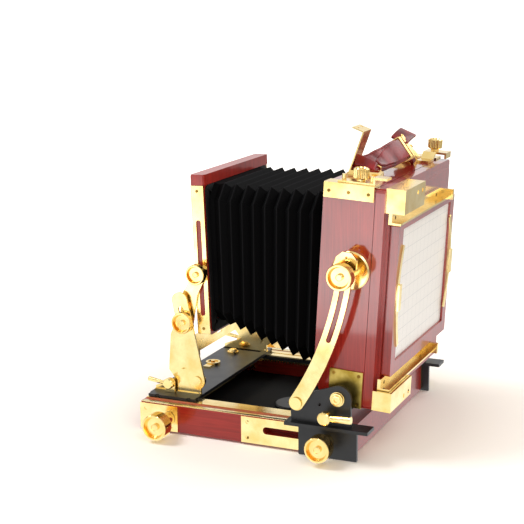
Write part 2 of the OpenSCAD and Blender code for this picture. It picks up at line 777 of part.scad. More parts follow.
module tilt_knob() {
    color("gold") translate([0, tilt_stud[0], tilt_stud[1]]) rotate([0, 90, 0]) {
        translate([0, 0, upright_x + 0.2]) cylinder(h = tilt_knob_x - upright_x, r = tilt_stud_r);
        translate([0, 0, tilt_knob_x]) dished_knob(tilt_knob_r, 0.6 * tilt_knob_r, 0.8, front_limit_x - tilt_knob_x);
    }
}

module tilt_knob_left() on_side("left") tilt_knob();
module tilt_knob_right() on_side("right") tilt_knob();

module rise_knob() {
    color("gold") translate([0, rise_stud[0], rise_stud[1]]) rotate([0, 90, 0]) {
        translate([0, 0, strip_x - 0.4]) cylinder(h = 1 + upright_x + brass_t - strip_x, r = rise_stud_r);
        translate([0, 0, upright_x + brass_t + 0.3])
            dished_knob(rise_knob_r, 0.55 * rise_knob_r, 3.2, front_limit_x - upright_x - brass_t - 0.3);
    }
}

module rise_knob_left() on_side("left") rise_knob();
module rise_knob_right() on_side("right") rise_knob();

// One corner of a bellows ring: a rectangle with cut corners, leaned to follow the standards
function bellows_point(t, corner, inset) =
    let (half_w = bellows_front_half + (bellows_rear_half - bellows_front_half) * t - inset,
         half_h = half_w + 4 * (1 - t),
         nip = 9,
         xs = [half_w, half_w, half_w - nip, nip - half_w, -half_w, -half_w, nip - half_w, half_w - nip],
         zs = [nip - half_h, half_h - nip, half_h, half_h, half_h - nip, nip - half_h, -half_h, -half_h],
         middle = bellows_start + (bellows_end - bellows_start) * t,
         slope = -tan(frame_lean) * (1 - t) + tan(rear_lean) * t)
    [xs[corner], middle[0] + slope * zs[corner], middle[1] + zs[corner]];

module bellows() {
    last = 2 * pleats;
    rings = last + 1;
    // Ridges are even rings and valleys odd ones; the two end rings lie flat in their standards
    outer = [for (i = [0 : last], c = [0 : 7]) bellows_point(i / last, c, i % 2 == 0 ? 0 : pleat_depth)];
    inner = [for (i = [0 : last], c = [0 : 7])
        bellows_point(i / last, c, bellows_wall + (i % 2 == 0 ? 0.8 : pleat_depth))];
    n = 8 * rings;
    skin = [for (i = [0 : last - 1], c = [0 : 7])
        [8 * i + c, 8 * i + (c + 1) % 8, 8 * (i + 1) + (c + 1) % 8, 8 * (i + 1) + c]];
    lining = [for (f = skin) [f[3] + n, f[2] + n, f[1] + n, f[0] + n]];
    front = [for (c = [0 : 7]) [c, c + n, (c + 1) % 8 + n, (c + 1) % 8]];
    back = [for (c = [0 : 7])
        [8 * last + c, 8 * last + (c + 1) % 8, 8 * last + (c + 1) % 8 + n, 8 * last + c + n]];
    color("black") polyhedron(concat(outer, inner), concat(skin, lining, front, back));
}

module rear_frame() {
    depth = box_front + box_back;
    bevel_top = 8.5;
    bevel_end = 10.5 - box_front;
    color("firebrick") rear_local() difference() {
        cross_plate(-box_front, depth) translate([0, box_mid_z]) round_rect(box_w, box_up + box_down, 3);
        cross_plate(-box_front - cut, depth + 2 * cut) translate([0, box_mid_z])
            square([2 * box_inner, box_up + box_down - 2 * box_wall], center = true);
        // The lower front edge is cut away so that the box clears the bed as it folds
        side_plate(-box_half - cut, box_w + 2 * cut) polygon([[-box_front - cut, -box_down - cut],
            [-box_front - cut, bevel_top], [-box_front, bevel_top], [bevel_end, -box_down], [bevel_end, -box_down - cut]]);
        x_pin(-box_half - cut, box_w + 2 * cut, [0, 0], rear_pin_r + fit);
    }
}

module box_corner_plates() {
    color("darkkhaki") rear_local() both_sides() difference() {
        side_plate(box_half, box_plate_t) translate([0.8 - box_front / 2, 0.6 - box_down])
            square([box_front / 2 + box_back - 1.2, box_down + 18]);
        x_pin(box_half - cut, box_plate_t + 2 * cut, [0, 0], rear_pin_r + fit);
        for (y = [4 - box_front / 2, box_back - 3.4], z = [3.4 - box_down, 15.5])
            x_pin(box_half + box_plate_t - 0.5, cut, [y, z], 1.4, 20);
    }
}

module arm_bosses() {
    color("gold") rear_local() both_sides() difference() {
        translate([box_half, 0.4, arm_stud_h]) rotate([0, 90, 0]) rotate_extrude()
            polygon([[0, 0], [boss_r, 0], [boss_r, boss_t - 1], [boss_r - 1, boss_t], [0, boss_t]]);
        x_pin(box_half, boss_t + cut, [0.4, arm_stud_h], 2.5);
    }
}

// Brass angle strips along the top edges of the box, each with the plate that its top knob clamps
module box_top_straps() {
    strap_l = box_front + box_back - 1;
    strap_y = 0.4 - box_front;
    strap_low = box_up - 9.8;
    strap_top = box_up + box_plate_t;
    strap_in = 12;
    color("gold") rear_local() {
        both_sides() difference() {
            union() {
                translate([box_half, strap_y, strap_low]) cube([box_plate_t, strap_l, strap_top - strap_low]);
                translate([box_half - strap_in, strap_y, box_up]) cube([strap_in, strap_l, box_plate_t]);
            }
            for (y = [strap_y + 4, strap_y + strap_l / 2, strap_y + strap_l - 4])
                x_pin(box_half + box_plate_t - 0.5, cut, [y, box_up - 5], 1.3, 20);
        }
        side_plate(box_half - strap_in + 1, strap_in - 2) polygon([[-14, strap_top], [hook_y, strap_top],
            [hook_y, strap_top + 4.4], [hook_end, strap_top + 4.4], [hook_end, strap_top + 4.4 + hook_t],
            [hook_y - hook_t, strap_top + 4.4 + hook_t], [hook_y - hook_t, strap_top + hook_t],
            [-14, strap_top + hook_t]]);
        for (y = [-11, 9.6]) translate([box_half - strap_in / 2, y, strap_top + hook_t])
            cylinder(h = 4, r = 1.6, $fn = 24);
        mirror([1, 0, 0]) cross_plate(4, 10) polygon([[step_from, box_up], [step_from, box_up + hook_t],
            [step_x, box_up + hook_t], [step_x + 6, step_top], [box_half - 1, step_top],
            [box_half - 1, step_top - hook_t], [step_x + 6.8, step_top - hook_t], [step_x + 1, box_up]]);
        mirror([1, 0, 0]) translate([step_x + 6.4, 13.9, step_top - hook_t])
            cube([box_half - step_x - 7.4, 8.5, hook_t]);
        mirror([1, 0, 0]) translate([step_x + 6.4, 21, box_up + hook_t])
            cube([box_half - step_x - 7.4, 1.4, step_top - hook_t - box_up]);
    }
}

// A springy catch that stands up at the front of the box's top, with its hooked lip forward
module top_latch() {
    color("gold") rear_local() translate([latch_x, latch_hinge[0], latch_hinge[1]]) {
        rotate([0, 90, 0]) cylinder(h = latch_w + 2.4, r = 1.3, center = true);
        rotate([-17, 0, 0]) difference() {
            union() {
                translate([-latch_w / 2, -0.5, 0]) cube([latch_w, 1, latch_h]);
                translate([-latch_w / 2, -latch_lip, latch_h - 1]) cube([latch_w, latch_lip, 1]);
            }
            for (s = [-1, 1]) translate([s * latch_w / 4, -0.67 * latch_lip, latch_h - 1 - cut])
                cylinder(h = 1 + 2 * cut, r = 1.2, $fn = 24);
        }
    }
}

module top_knob(place) {
    color("gold") rear_local() translate(place) dished_knob(5.6, 3.2, 1.6, 9.4, 28);
}

module top_knob_left() top_knob([box_half - 6, 1.5, box_up + 3]);
module top_knob_right() top_knob([-box_half + 7.5, 11, box_up + 6.4]);

// The arched leather handle, drawn as seen from behind and as wide as it is along the box
module handle() {
    bend_r = (handle_half_l * handle_half_l + handle_rise * handle_rise) / (2 * handle_rise);
    half_angle = asin(handle_half_l / bend_r);
    color("darkred") rear_local() cross_plate(handle_mid_y - handle_w / 2, handle_w)
        arc_band([0, handle_seat + handle_rise - bend_r], bend_r, handle_t / 2, 90 - half_angle, 90 + half_angle);
}

// The brass ends that hold the handle, its two loops and its buckle
module handle_fittings() {
    bend_r = (handle_half_l * handle_half_l + handle_rise * handle_rise) / (2 * handle_rise);
    half_angle = asin(handle_half_l / bend_r);
    middle = [0, handle_seat + handle_rise - bend_r];
    color("gold") rear_local() {
        for (s = [-1, 1]) difference() {
            translate([s * (handle_half_l + 2.5) - 5.5, handle_mid_y - handle_w / 2 - 1.5, box_up])
                cube([11, handle_w + 3, handle_seat - box_up + 1.5]);
            cross_plate(handle_mid_y - handle_w / 2 - 0.3, handle_w + 0.6)
                arc_band(middle, bend_r, handle_t / 2 + 0.3, 89 - half_angle, 91 + half_angle);
        }
        for (a = [62, 104, 110]) difference() {
            cross_plate(handle_mid_y - handle_w / 2 - 1.4, handle_w + 2.8)
                arc_band(middle, bend_r, handle_t / 2 + 1.4, a - 1.6, a + 1.6);
            cross_plate(handle_mid_y - handle_w / 2 - 0.1, handle_w + 0.2)
                arc_band(middle, bend_r, handle_t / 2 + 0.1, a - 4, a + 4);
        }
    }
}

// An arm: a curved flat bar with a long slot and an eight-sided head
module arm() {
    head = arc_centre + arm_arc_r * [cos(arm_end), sin(arm_end)];
    slot_from = arc_centre + arm_arc_r * [cos(arm_slot_start), sin(arm_slot_start)];
    slot_to = arc_centre + arm_arc_r * [cos(arm_slot_end), sin(arm_slot_end)];
    difference() {
        side_plate(arm_x, arm_t) difference() {
            union() {
                arc_band(arc_centre, arm_arc_r, arm_w / 2, arc_start, arm_end);
                translate(arm_pin) circle(arm_w / 2);
                translate(head) rotate(arm_end + 22.5) circle(0.75 * arm_w, $fn = 8);
            }
            arc_band(arc_centre, arm_arc_r, arm_slot_half, arm_slot_start, arm_slot_end);
            translate(slot_from) circle(arm_slot_half);
            translate(slot_to) circle(arm_slot_half);
            for (d = [-1, 1]) translate(head + 4 * [sin(arm_end), -cos(arm_end)] * d ) circle(0.9, $fn = 16);
        }
        x_pin(arm_x - cut, arm_t + 2 * cut, arm_pin, arm_pin_r + fit);
    }
}

module arm_left() color("gold") on_side("left") arm();
module arm_right() color("gold") on_side("right") arm();

// The studs that run in the arms' slots, each with its washer against the boss plate
module arm_studs() {
    color("gold") both_sides() {
        x_pin(box_half + boss_t + 0.3, arm_x - box_half - boss_t - 0.5, arm_stud, 5.5);
        x_pin(arm_x - 0.3, arm_t + 0.5, arm_stud, arm_stud_r);
        x_pin(arm_x + arm_t + 0.2, 1, arm_stud, 6.8);
    }
}

module arm_knob() {
    color("gold") translate([arm_x + arm_t + 1.5, arm_stud[0], arm_stud[1]]) rotate([0, 90, 0])
        dished_knob(arm_knob_r, 0.55 * arm_knob_r, 2.6, 11);
}

module arm_knob_left() on_side("left") arm_knob();
module arm_knob_right() on_side("right") arm_knob();

// A rear carriage: a plate down the bed's side, a flange over its edge and an upright plate with the hinges
module side_bracket() {
    flange_y = rear_y - 39.75;
    lower_y = lock_y - lower_plate_l / 2;
    difference() {
        union() {
            translate([lower_plate_x, lower_y, 0.3]) cube([bracket_t, lower_plate_l, flange_top - 0.3]);
            translate([bed_half - 4, flange_y, flange_bottom])
                cube([bracket_outer_x + 9 - bed_half, flange_l, bracket_t]);
            side_plate(bracket_x, bracket_t) union() {
                polygon([[arm_pin[0] - 4.8, flange_bottom], [arm_pin[0] - 5.4, arm_pin[1]],
                    [arm_pin[0] + 1, arm_pin[1] + 5.5], [rear_y - 1.4, rear_z + 9.3], [rear_y + 9.4, rear_z],
                    [rear_y + 10.4, flange_bottom]]);
                translate(arm_pin) circle(5.5);
                translate([rear_y + 0.6, rear_z]) circle(9.5);
            }
            x_pin(box_half + box_plate_t + 0.3, bracket_x - box_half - box_plate_t - 0.2, [rear_y, rear_z], 6.5);
        }
        x_pin(bracket_x - cut, bracket_t + 2 * cut, [rear_y - 14, rear_z - 6], 1.3, 24);
        x_pin(lower_plate_x - cut, bracket_t + 2 * cut, [lock_y, lock_slot_z], lock_stud_r + fit);
    }
    x_pin(box_half - box_wall + 2, bracket_x - box_half + box_wall, [rear_y, rear_z], rear_pin_r);
    x_pin(bracket_outer_x - 0.2, arm_t + plate_gap + 0.6, arm_pin, arm_pin_r);
}

// The gold bolt heads on the carriage's two hinges
module bolt_heads() {
    x_pin(bracket_outer_x, 1.6, [rear_y, rear_z], 5.4);
    x_pin(bracket_outer_x + 1.6, 0.6, [rear_y, rear_z], 3.4);
    x_pin(arm_x + arm_t + 0.4, 1.3, arm_pin, 4.4);
}

module side_bracket_left() color("black") on_side("left") {
    side_bracket();
    bolt_heads();
}
module side_bracket_right() color("black") on_side("right") {
    side_bracket();
    bolt_heads();
}

module rear_lock_knob() {
    knob_x = lower_plate_x + bracket_t + 0.3;
    color("gold") translate([0, lock_y, lock_slot_z]) rotate([0, 90, 0]) {
        translate([0, 0, bed_half - 7]) cylinder(h = knob_x - bed_half + 7.2, r = lock_stud_r);
        translate([0, 0, knob_x]) dished_knob(lock_knob_r, 0.55 * lock_knob_r, lock_knob_face - knob_x - 11,
            lock_knob_face - knob_x);
    }
}

module rear_lock_knob_left() on_side("left") rear_lock_knob();
module rear_lock_knob_right() on_side("right") rear_lock_knob();

module rear_lever() {
    color("gold") translate([bracket_outer_x + 0.3, rear_y - 6.5, rear_z - 12.4]) mirror([0, 1, 0]) rotate([-2, 0, 0])
        lever(20, 4.8, 6, 6, 2.6);
}

module rear_lever_left() on_side("left") rear_lever();
module rear_lever_right() on_side("right") rear_lever();

// The reversible back: a wooden frame with a raised panel round the film window
module back_frame() {
    color("firebrick") rear_local() difference() {
        union() {
            cross_plate(box_back + 0.3, back_t) translate([0, box_mid_z])
                round_rect(2 * back_half, box_up + box_down - 0.4, 3);
            cross_plate(back_face, panel_t) translate([0, box_mid_z]) round_rect(2 * panel_half, panel_h, 2);
        }
        cross_plate(box_back - cut, back_t + panel_t + 2 * cut + 1) translate([0, glass_mid_z])
            square([glass_w + 0.8, glass_h + 0.8], center = true);
    }
}

// Brass blocks at the operator's left that carry the two slide bars
module lock_blocks() {
    block_x = 32;
    gap = 0.3;
    color("gold") rear_local() difference() {
        union() {
            translate([block_x, back_face, top_slide_z + slide_h + gap])
                cube([box_half - 2 - block_x, lock_block_t, box_up + 0.6 - top_slide_z - slide_h - gap]);
            translate([block_x, back_face, 1 - box_down])
                cube([box_half - block_x, lock_block_t, bottom_slide_z - gap - 1 + box_down]);
        }
        translate([-panel_half - gap, back_face - cut, box_mid_z - panel_h / 2 - gap])
            cube([2 * (panel_half + gap), panel_t + cut, panel_h + 2 * gap]);
        for (x = [block_x + 6, block_x + 17], z = [box_up - 5, 5 - box_down])
            translate([x, back_face + lock_block_t - 0.5, z]) rotate([-90, 0, 0]) cylinder(h = cut, r = 1.6, $fn = 24);
    }
}

// A slide bar: a flat runner with a raised outer edge and a finger tab
module slide_bar(from, to, low) {
    difference() {
        union() {
            translate([from, panel_face + 0.2, low]) cube([to - from, runner_t, slide_h]);
            translate([from, panel_face + 0.2, low]) cube([to - from, runner_lip, runner_lip_t]);
            translate([from, panel_face + 0.2, low]) cube([slide_tab_l, slide_tab, slide_h]);
        }
        for (x = [from + 12, to - 8])
            translate([x, panel_face, low + slide_h / 2]) rotate([-90, 0, 0]) cylinder(h = 4, r = 1.3, $fn = 24);
    }
}

module top_slide() color("gold") rear_local() slide_bar(-top_slide_reach, box_half - 4, top_slide_z);
module bottom_slide() color("gold") rear_local() slide_bar(-bottom_slide_reach, box_half - 3, bottom_slide_z);

module glass_frame() {
    mid = glass_frame_low + glass_frame_h / 2;
    color("firebrick") rear_local() difference() {
        cross_plate(glass_frame_y, glass_frame_t) translate([0, mid])
            round_rect(2 * glass_frame_half_w, glass_frame_h, 2);
        cross_plate(glass_frame_y - cut, glass_frame_t + 2 * cut) translate([0, glass_mid_z])
            square([glass_w, glass_h], center = true);
        cross_plate(glass_frame_y - cut, glass_y + glass_t + cut - glass_frame_y) translate([0, glass_mid_z])
            square([glass_w + 2 * glass_seat, glass_h + 2 * glass_seat], center = true);
    }
}

module ground_glass() {
    color("white") rear_local() cross_plate(glass_y, glass_t) translate([0, glass_mid_z])
        square([glass_w + 2 * glass_seat - 0.4, glass_h + 2 * glass_seat - 0.4], center = true);
}

// Two bowed leaf springs with their middle blocks, which press the glass frame home
module bow_springs() {
    bow_h = 74;
    bow_w = 7;
    bow_r = (bow_h * bow_h / 4 + bow_w * bow_w) / (2 * bow_w);
    half_angle = asin(bow_h / 2 / bow_r);
    color("gold") rear_local() both_sides() {
        cross_plate(glass_frame_face, 1)
            arc_band([glass_w / 2 + 6.4 - bow_r, glass_mid_z], bow_r, 2, -half_angle, half_angle);
        translate([glass_w / 2 + 2.6, glass_frame_face + 1, glass_mid_z - 9.5]) cube([5.4, 1.4, 19]);
    }
}

bed_frame();
bed_floor();
tripod_plate();
bed_side_plates();
bed_rails();
side_bracket_left();
side_bracket_right();
rear_lock_knob_left();
rear_lock_knob_right();
rear_lever_left();
rear_lever_right();
track_frame();
track_strips();
focus_racks();
pinion_shaft();
focus_knob_left();
focus_knob_right();
base_plate();
base_feet();
clamp_strips();
base_tab();
base_button();
front_lever_left();
front_lever_right();
upright_left();
upright_right();
upright_web();
brace_left();
brace_right();
frame_guides();
front_frame();
frame_side_plates();
lens_board();
board_latch();
tilt_knob_left();
tilt_knob_right();
rise_knob_left();
rise_knob_right();
bellows();
rear_frame();
box_corner_plates();
arm_bosses();
box_top_straps();
top_latch();
top_knob_left();
top_knob_right();
handle();
handle_fittings();
arm_left();
arm_right();
arm_studs();
arm_knob_left();
arm_knob_right();
back_frame();
lock_blocks();
top_slide();
bottom_slide();
glass_frame();
ground_glass();
bow_springs();
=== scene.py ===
import bpy
from math import radians, degrees, sin, cos, tan, asin, atan2, pi
from mathutils import Vector, Matrix


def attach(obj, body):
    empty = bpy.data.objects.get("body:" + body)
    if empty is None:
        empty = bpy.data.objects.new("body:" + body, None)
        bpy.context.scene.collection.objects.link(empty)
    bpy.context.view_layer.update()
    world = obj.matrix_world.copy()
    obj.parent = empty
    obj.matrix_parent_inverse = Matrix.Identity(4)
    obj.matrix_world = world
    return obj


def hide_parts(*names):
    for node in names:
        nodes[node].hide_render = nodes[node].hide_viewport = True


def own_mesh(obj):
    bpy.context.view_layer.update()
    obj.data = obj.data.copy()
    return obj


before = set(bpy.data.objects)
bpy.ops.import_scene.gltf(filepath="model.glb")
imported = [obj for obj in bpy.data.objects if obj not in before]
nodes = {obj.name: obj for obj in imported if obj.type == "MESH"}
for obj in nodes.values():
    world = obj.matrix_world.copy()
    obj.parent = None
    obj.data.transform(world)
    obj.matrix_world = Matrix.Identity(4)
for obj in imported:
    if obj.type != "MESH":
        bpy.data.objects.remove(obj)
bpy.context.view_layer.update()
print("frame loaded:", len(nodes), "pieces")


def toLinear(hexColour):
    # sRGB hex such as "8a1a14" to the linear colour that a shader takes
    parts = [int(hexColour[i:i + 2], 16) / 255 for i in (0, 2, 4)]
    return [c / 12.92 if c <= 0.04045 else ((c + 0.055) / 1.055) ** 2.4 for c in parts] + [1.0]


def perMm(size):
    return 1000.0 / size  # texture scale for a feature of that many millimetres


def feed(tree, node, values=None, links=None):
    # sets a node's sockets, or links them to other nodes' outputs
    for socket, value in (values or {}).items():
        node.inputs[socket].default_value = value
    for socket, source in (links or {}).items():
        tree.links.new(source, node.inputs[socket])


def addNode(tree, kind, values=None, links=None, stops=None, **settings):
    # adds one node: settings first, then its sockets, and a ramp's stops
    node = tree.nodes.new(kind)
    for key, value in settings.items():
        setattr(node, key, value)
    feed(tree, node, values, links)
    for i, (position, colour) in enumerate(stops or []):
        elements = node.color_ramp.elements
        element = elements[0] if i == 0 else elements[-1] if i == len(stops) - 1 else elements.new(position)
        element.position, element.color = position, toLinear(colour)
    return node


def newMaterial(name):
    material = bpy.data.materials.new(name)
    material.use_nodes = True
    tree = material.node_tree
    tree.nodes.clear()
    shader = addNode(tree, "ShaderNodeBsdfPrincipled")
    addNode(tree, "ShaderNodeOutputMaterial", links={"Surface": shader.outputs["BSDF"]})
    place = addNode(tree, "ShaderNodeTexCoord").outputs["Object"]
    return material, tree, shader, place


lacquer = {"streakAcross": 1.6, "streakAlong": 45.0, "cloud": 38.0, "grainDeep": 0.05, "sheenLowAt": 0.045,
           "sheenFullAt": 0.125}


def stainedWood(name, grain, sheen):
    # maple stained red under polished lacquer: sharp highlights over a soft streaky figure
    material, tree, shader, place = newMaterial(name)
    scale = [perMm(lacquer["streakAcross"])] * 3
    scale["XYZ".index(grain)] = perMm(lacquer["streakAlong"])
    stretched = addNode(tree, "ShaderNodeMapping", {"Scale": scale}, {"Vector": place})
    streaks = addNode(tree, "ShaderNodeTexNoise", {"Scale": 1.0, "Detail": 4.0, "Roughness": 0.6, "Distortion": 0.4},
                      {"Vector": stretched.outputs["Vector"]})
    clouds = addNode(tree, "ShaderNodeTexNoise", {"Scale": perMm(lacquer["cloud"]), "Detail": 2.0}, {"Vector": place})
    both = addNode(tree, "ShaderNodeMix", {0: 0.38}, {2: streaks.outputs["Fac"], 3: clouds.outputs["Fac"]},
                   data_type="FLOAT")
    colour = addNode(tree, "ShaderNodeValToRGB", links={"Fac": both.outputs[0]},
                     stops=[(0.28, "74120c"), (0.76, "b53022")])
    grainBump = addNode(tree, "ShaderNodeBump", {"Strength": 0.12, "Distance": lacquer["grainDeep"] / 1000},
                        {"Height": streaks.outputs["Fac"]})
    # painted sheen: the lacquer coat is weaker low down and full above, so the upper faces mirror more of the bright
    # surroundings
    height = addNode(tree, "ShaderNodeSeparateXYZ", links={"Vector": place}).outputs["Z"]
    paintedSheen = addNode(tree, "ShaderNodeMapRange", {"From Min": lacquer["sheenLowAt"], "From Max": lacquer["sheenFullAt"],
                                                 "To Min": 0.2 * sheen, "To Max": sheen}, {"Value": height})
    feed(tree, shader, {"Roughness": 0.3, "Specular IOR Level": 0.25, "Coat IOR": 1.8, "Coat Roughness": 0.07},
         {"Coat Weight": paintedSheen.outputs["Result"], "Base Color": colour.outputs["Color"],
          "Normal": grainBump.outputs["Normal"]})
    return material


gold = {"haze": 0.10, "grit": 0.5, "cloud": 14.0}


def goldPlate(name, deep, bright, polish):
    # brass under polished gold plate: warm mirror with a faint uneven haze
    material, tree, shader, place = newMaterial(name)
    clouds = addNode(tree, "ShaderNodeTexNoise", {"Scale": perMm(gold["cloud"]), "Detail": 3.0}, {"Vector": place})
    grit = addNode(tree, "ShaderNodeTexNoise", {"Scale": perMm(gold["grit"]), "Detail": 2.0}, {"Vector": place})
    colour = addNode(tree, "ShaderNodeValToRGB", links={"Fac": clouds.outputs["Fac"]},
                     stops=[(0.3, deep), (0.65, bright)])
    rough = addNode(tree, "ShaderNodeMapRange", {"To Min": polish, "To Max": polish + gold["haze"]},
                    {"Value": clouds.outputs["Fac"]})
    fine = addNode(tree, "ShaderNodeBump", {"Strength": 0.05, "Distance": 0.00002}, {"Height": grit.outputs["Fac"]})
    feed(tree, shader, {"Metallic": 1.0}, {"Base Color": colour.outputs["Color"], "Roughness": rough.outputs["Result"],
                                           "Normal": fine.outputs["Normal"]})
    return material


def waxedBrass(name):
    # brass sheet under a thin coat of old wax: darker, greenish and softly brushed
    material, tree, shader, place = newMaterial(name)
    brushed = addNode(tree, "ShaderNodeMapping", {"Scale": (perMm(0.4), perMm(0.4), perMm(20))}, {"Vector": place})
    lines = addNode(tree, "ShaderNodeTexNoise", {"Scale": 1.0, "Detail": 3.0}, {"Vector": brushed.outputs["Vector"]})
    stains = addNode(tree, "ShaderNodeTexNoise", {"Scale": perMm(9), "Detail": 4.0}, {"Vector": place})
    colour = addNode(tree, "ShaderNodeValToRGB", links={"Fac": stains.outputs["Fac"]},
                     stops=[(0.35, "9a7f30"), (0.75, "cbb465")])
    rough = addNode(tree, "ShaderNodeMapRange", {"To Min": 0.28, "To Max": 0.42}, {"Value": lines.outputs["Fac"]})
    scratch = addNode(tree, "ShaderNodeBump", {"Strength": 0.1, "Distance": 0.00002}, {"Height": lines.outputs["Fac"]})
    feed(tree, shader, {"Metallic": 1.0}, {"Base Color": colour.outputs["Color"], "Roughness": rough.outputs["Result"],
                                           "Normal": scratch.outputs["Normal"]})
    return material


def blackAnodised(name, boltsFrom=None, boltsOver=None):
    # aluminium plate anodised black: satin with fine grit; heads beyond boltsFrom and over boltsOver are gold
    material, tree, shader, place = newMaterial(name)
    grit = addNode(tree, "ShaderNodeTexNoise", {"Scale": perMm(0.6), "Detail": 3.0}, {"Vector": place})
    worn = addNode(tree, "ShaderNodeTexNoise", {"Scale": perMm(11), "Detail": 5.0}, {"Vector": place})
    black = addNode(tree, "ShaderNodeValToRGB", links={"Fac": worn.outputs["Fac"]},
                    stops=[(0.3, "08090b"), (0.8, "1c1d21")]).outputs["Color"]
    dull = addNode(tree, "ShaderNodeMapRange", {"To Min": 0.30, "To Max": 0.46},
                   {"Value": worn.outputs["Fac"]}).outputs["Result"]
    if boltsFrom is not None:
        across = addNode(tree, "ShaderNodeSeparateXYZ", links={"Vector": place})
        side = addNode(tree, "ShaderNodeMath", links={0: across.outputs["X"]}, operation="ABSOLUTE")
        outer = addNode(tree, "ShaderNodeMath", {1: boltsFrom / 1000}, {0: side.outputs[0]}, operation="GREATER_THAN")
        upper = addNode(tree, "ShaderNodeMath", {1: boltsOver / 1000}, {0: across.outputs["Z"]},
                        operation="GREATER_THAN")
        bolt = addNode(tree, "ShaderNodeMath", links={0: outer.outputs[0], 1: upper.outputs[0]},
                       operation="MULTIPLY").outputs[0]
        black = addNode(tree, "ShaderNodeMix", {7: toLinear("fbdf98")}, {0: bolt, 6: black},
                        data_type="RGBA").outputs[2]
        dull = addNode(tree, "ShaderNodeMix", {3: 0.18}, {0: bolt, 2: dull}, data_type="FLOAT").outputs[0]
        feed(tree, shader, links={"Metallic": bolt})
    fine = addNode(tree, "ShaderNodeBump", {"Strength": 0.12, "Distance": 0.00003}, {"Height": grit.outputs["Fac"]})
    feed(tree, shader, links={"Base Color": black, "Roughness": dull, "Normal": fine.outputs["Normal"]})
    return material


def mattBlackBoard(name):
    # plywood painted matt black against stray light
    material, tree, shader, place = newMaterial(name)
    along = addNode(tree, "ShaderNodeMapping", {"Scale": (perMm(1.2), perMm(30), perMm(1.2))}, {"Vector": place})
    lines = addNode(tree, "ShaderNodeTexNoise", {"Scale": 1.0, "Detail": 4.0}, {"Vector": along.outputs["Vector"]})
    colour = addNode(tree, "ShaderNodeValToRGB", links={"Fac": lines.outputs["Fac"]},
                     stops=[(0.3, "040404"), (0.7, "0c0b0b")])
    pores = addNode(tree, "ShaderNodeBump", {"Strength": 0.25, "Distance": 0.00008}, {"Height": lines.outputs["Fac"]})
    feed(tree, shader, {"Roughness": 0.7, "Specular IOR Level": 0.2},
         {"Base Color": colour.outputs["Color"], "Normal": pores.outputs["Normal"]})
    return material


def pleatedCloth(name):
    # leatherette over cloth: fine black grain, and a thin grey line along each ridge
    material, tree, shader, place = newMaterial(name)
    grain = addNode(tree, "ShaderNodeTexVoronoi", {"Scale": perMm(0.9)}, {"Vector": place})
    ridge = addNode(tree, "ShaderNodeAttribute", attribute_name="ridge")
    ridgeLine = addNode(tree, "ShaderNodeMapRange", {"From Min": 0.86}, {"Value": ridge.outputs["Fac"]}).outputs["Result"]
    colour = addNode(tree, "ShaderNodeMix", {6: toLinear("030304"), 7: toLinear("1c1d20")}, {0: ridgeLine},
                     data_type="RGBA")
    fine = addNode(tree, "ShaderNodeBump", {"Strength": 0.2, "Distance": 0.00005},
                   {"Height": grain.outputs["Distance"]})
    feed(tree, shader, {"Roughness": 0.72, "Specular IOR Level": 0.05},
         {"Base Color": colour.outputs[2], "Normal": fine.outputs["Normal"]})
    return material


def groundGlass(name):
    # glass ground on one face: milky white, with a faint printed grid of 10 mm squares
    material, tree, shader, place = newMaterial(name)
    parts = addNode(tree, "ShaderNodeSeparateXYZ", links={"Vector": place})
    lines = []
    for axis in ("X", "Z"):
        cell = addNode(tree, "ShaderNodeMath", {1: 0.005}, {0: parts.outputs[axis]}, operation="PINGPONG")
        line = addNode(tree, "ShaderNodeMath", {1: 0.00018}, {0: cell.outputs[0]}, operation="LESS_THAN")
        lines.append(line.outputs[0])
    grid = addNode(tree, "ShaderNodeMath", links={0: lines[0], 1: lines[1]}, operation="MAXIMUM")
    frost = addNode(tree, "ShaderNodeTexNoise", {"Scale": perMm(0.5), "Detail": 2.0}, {"Vector": place})
    white = addNode(tree, "ShaderNodeValToRGB", links={"Fac": frost.outputs["Fac"]},
                    stops=[(0.3, "e9ebeb"), (0.7, "f6f7f6")])
    printed = addNode(tree, "ShaderNodeMix", {7: toLinear("cdd2d5")}, {0: grid.outputs[0], 6: white.outputs["Color"]},
                      data_type="RGBA")
    feed(tree, shader, {"Roughness": 0.35}, {"Base Color": printed.outputs[2]})
    return material


def glazedLeather(name):
    # cowhide dyed dark red and glazed: shallow pebbled grain under a shiny finish
    material, tree, shader, place = newMaterial(name)
    pebbles = addNode(tree, "ShaderNodeTexVoronoi", {"Scale": perMm(1.3)}, {"Vector": place})
    tone = addNode(tree, "ShaderNodeTexNoise", {"Scale": perMm(12), "Detail": 4.0}, {"Vector": place})
    colour = addNode(tree, "ShaderNodeValToRGB", links={"Fac": tone.outputs["Fac"]},
                     stops=[(0.3, "560509"), (0.75, "9c161a")])
    grain = addNode(tree, "ShaderNodeBump", {"Strength": 0.22, "Distance": 0.00012},
                    {"Height": pebbles.outputs["Distance"]})
    feed(tree, shader, {"Roughness": 0.34, "Specular IOR Level": 0.3, "Coat Weight": 0.2, "Coat Roughness": 0.14},
         {"Base Color": colour.outputs["Color"], "Normal": grain.outputs["Normal"]})
    return material


def waxedThread(name):
    # linen thread, waxed: pale red-brown with a slight twist
    material, tree, shader, place = newMaterial(name)
    twist = addNode(tree, "ShaderNodeTexWave", {"Scale": perMm(1.0)}, {"Vector": place})
    colour = addNode(tree, "ShaderNodeValToRGB", links={"Fac": twist.outputs["Fac"]},
                     stops=[(0.2, "6a1a1c"), (0.8, "a04a3c")])
    feed(tree, shader, {"Roughness": 0.6}, {"Base Color": colour.outputs["Color"]})
    return material


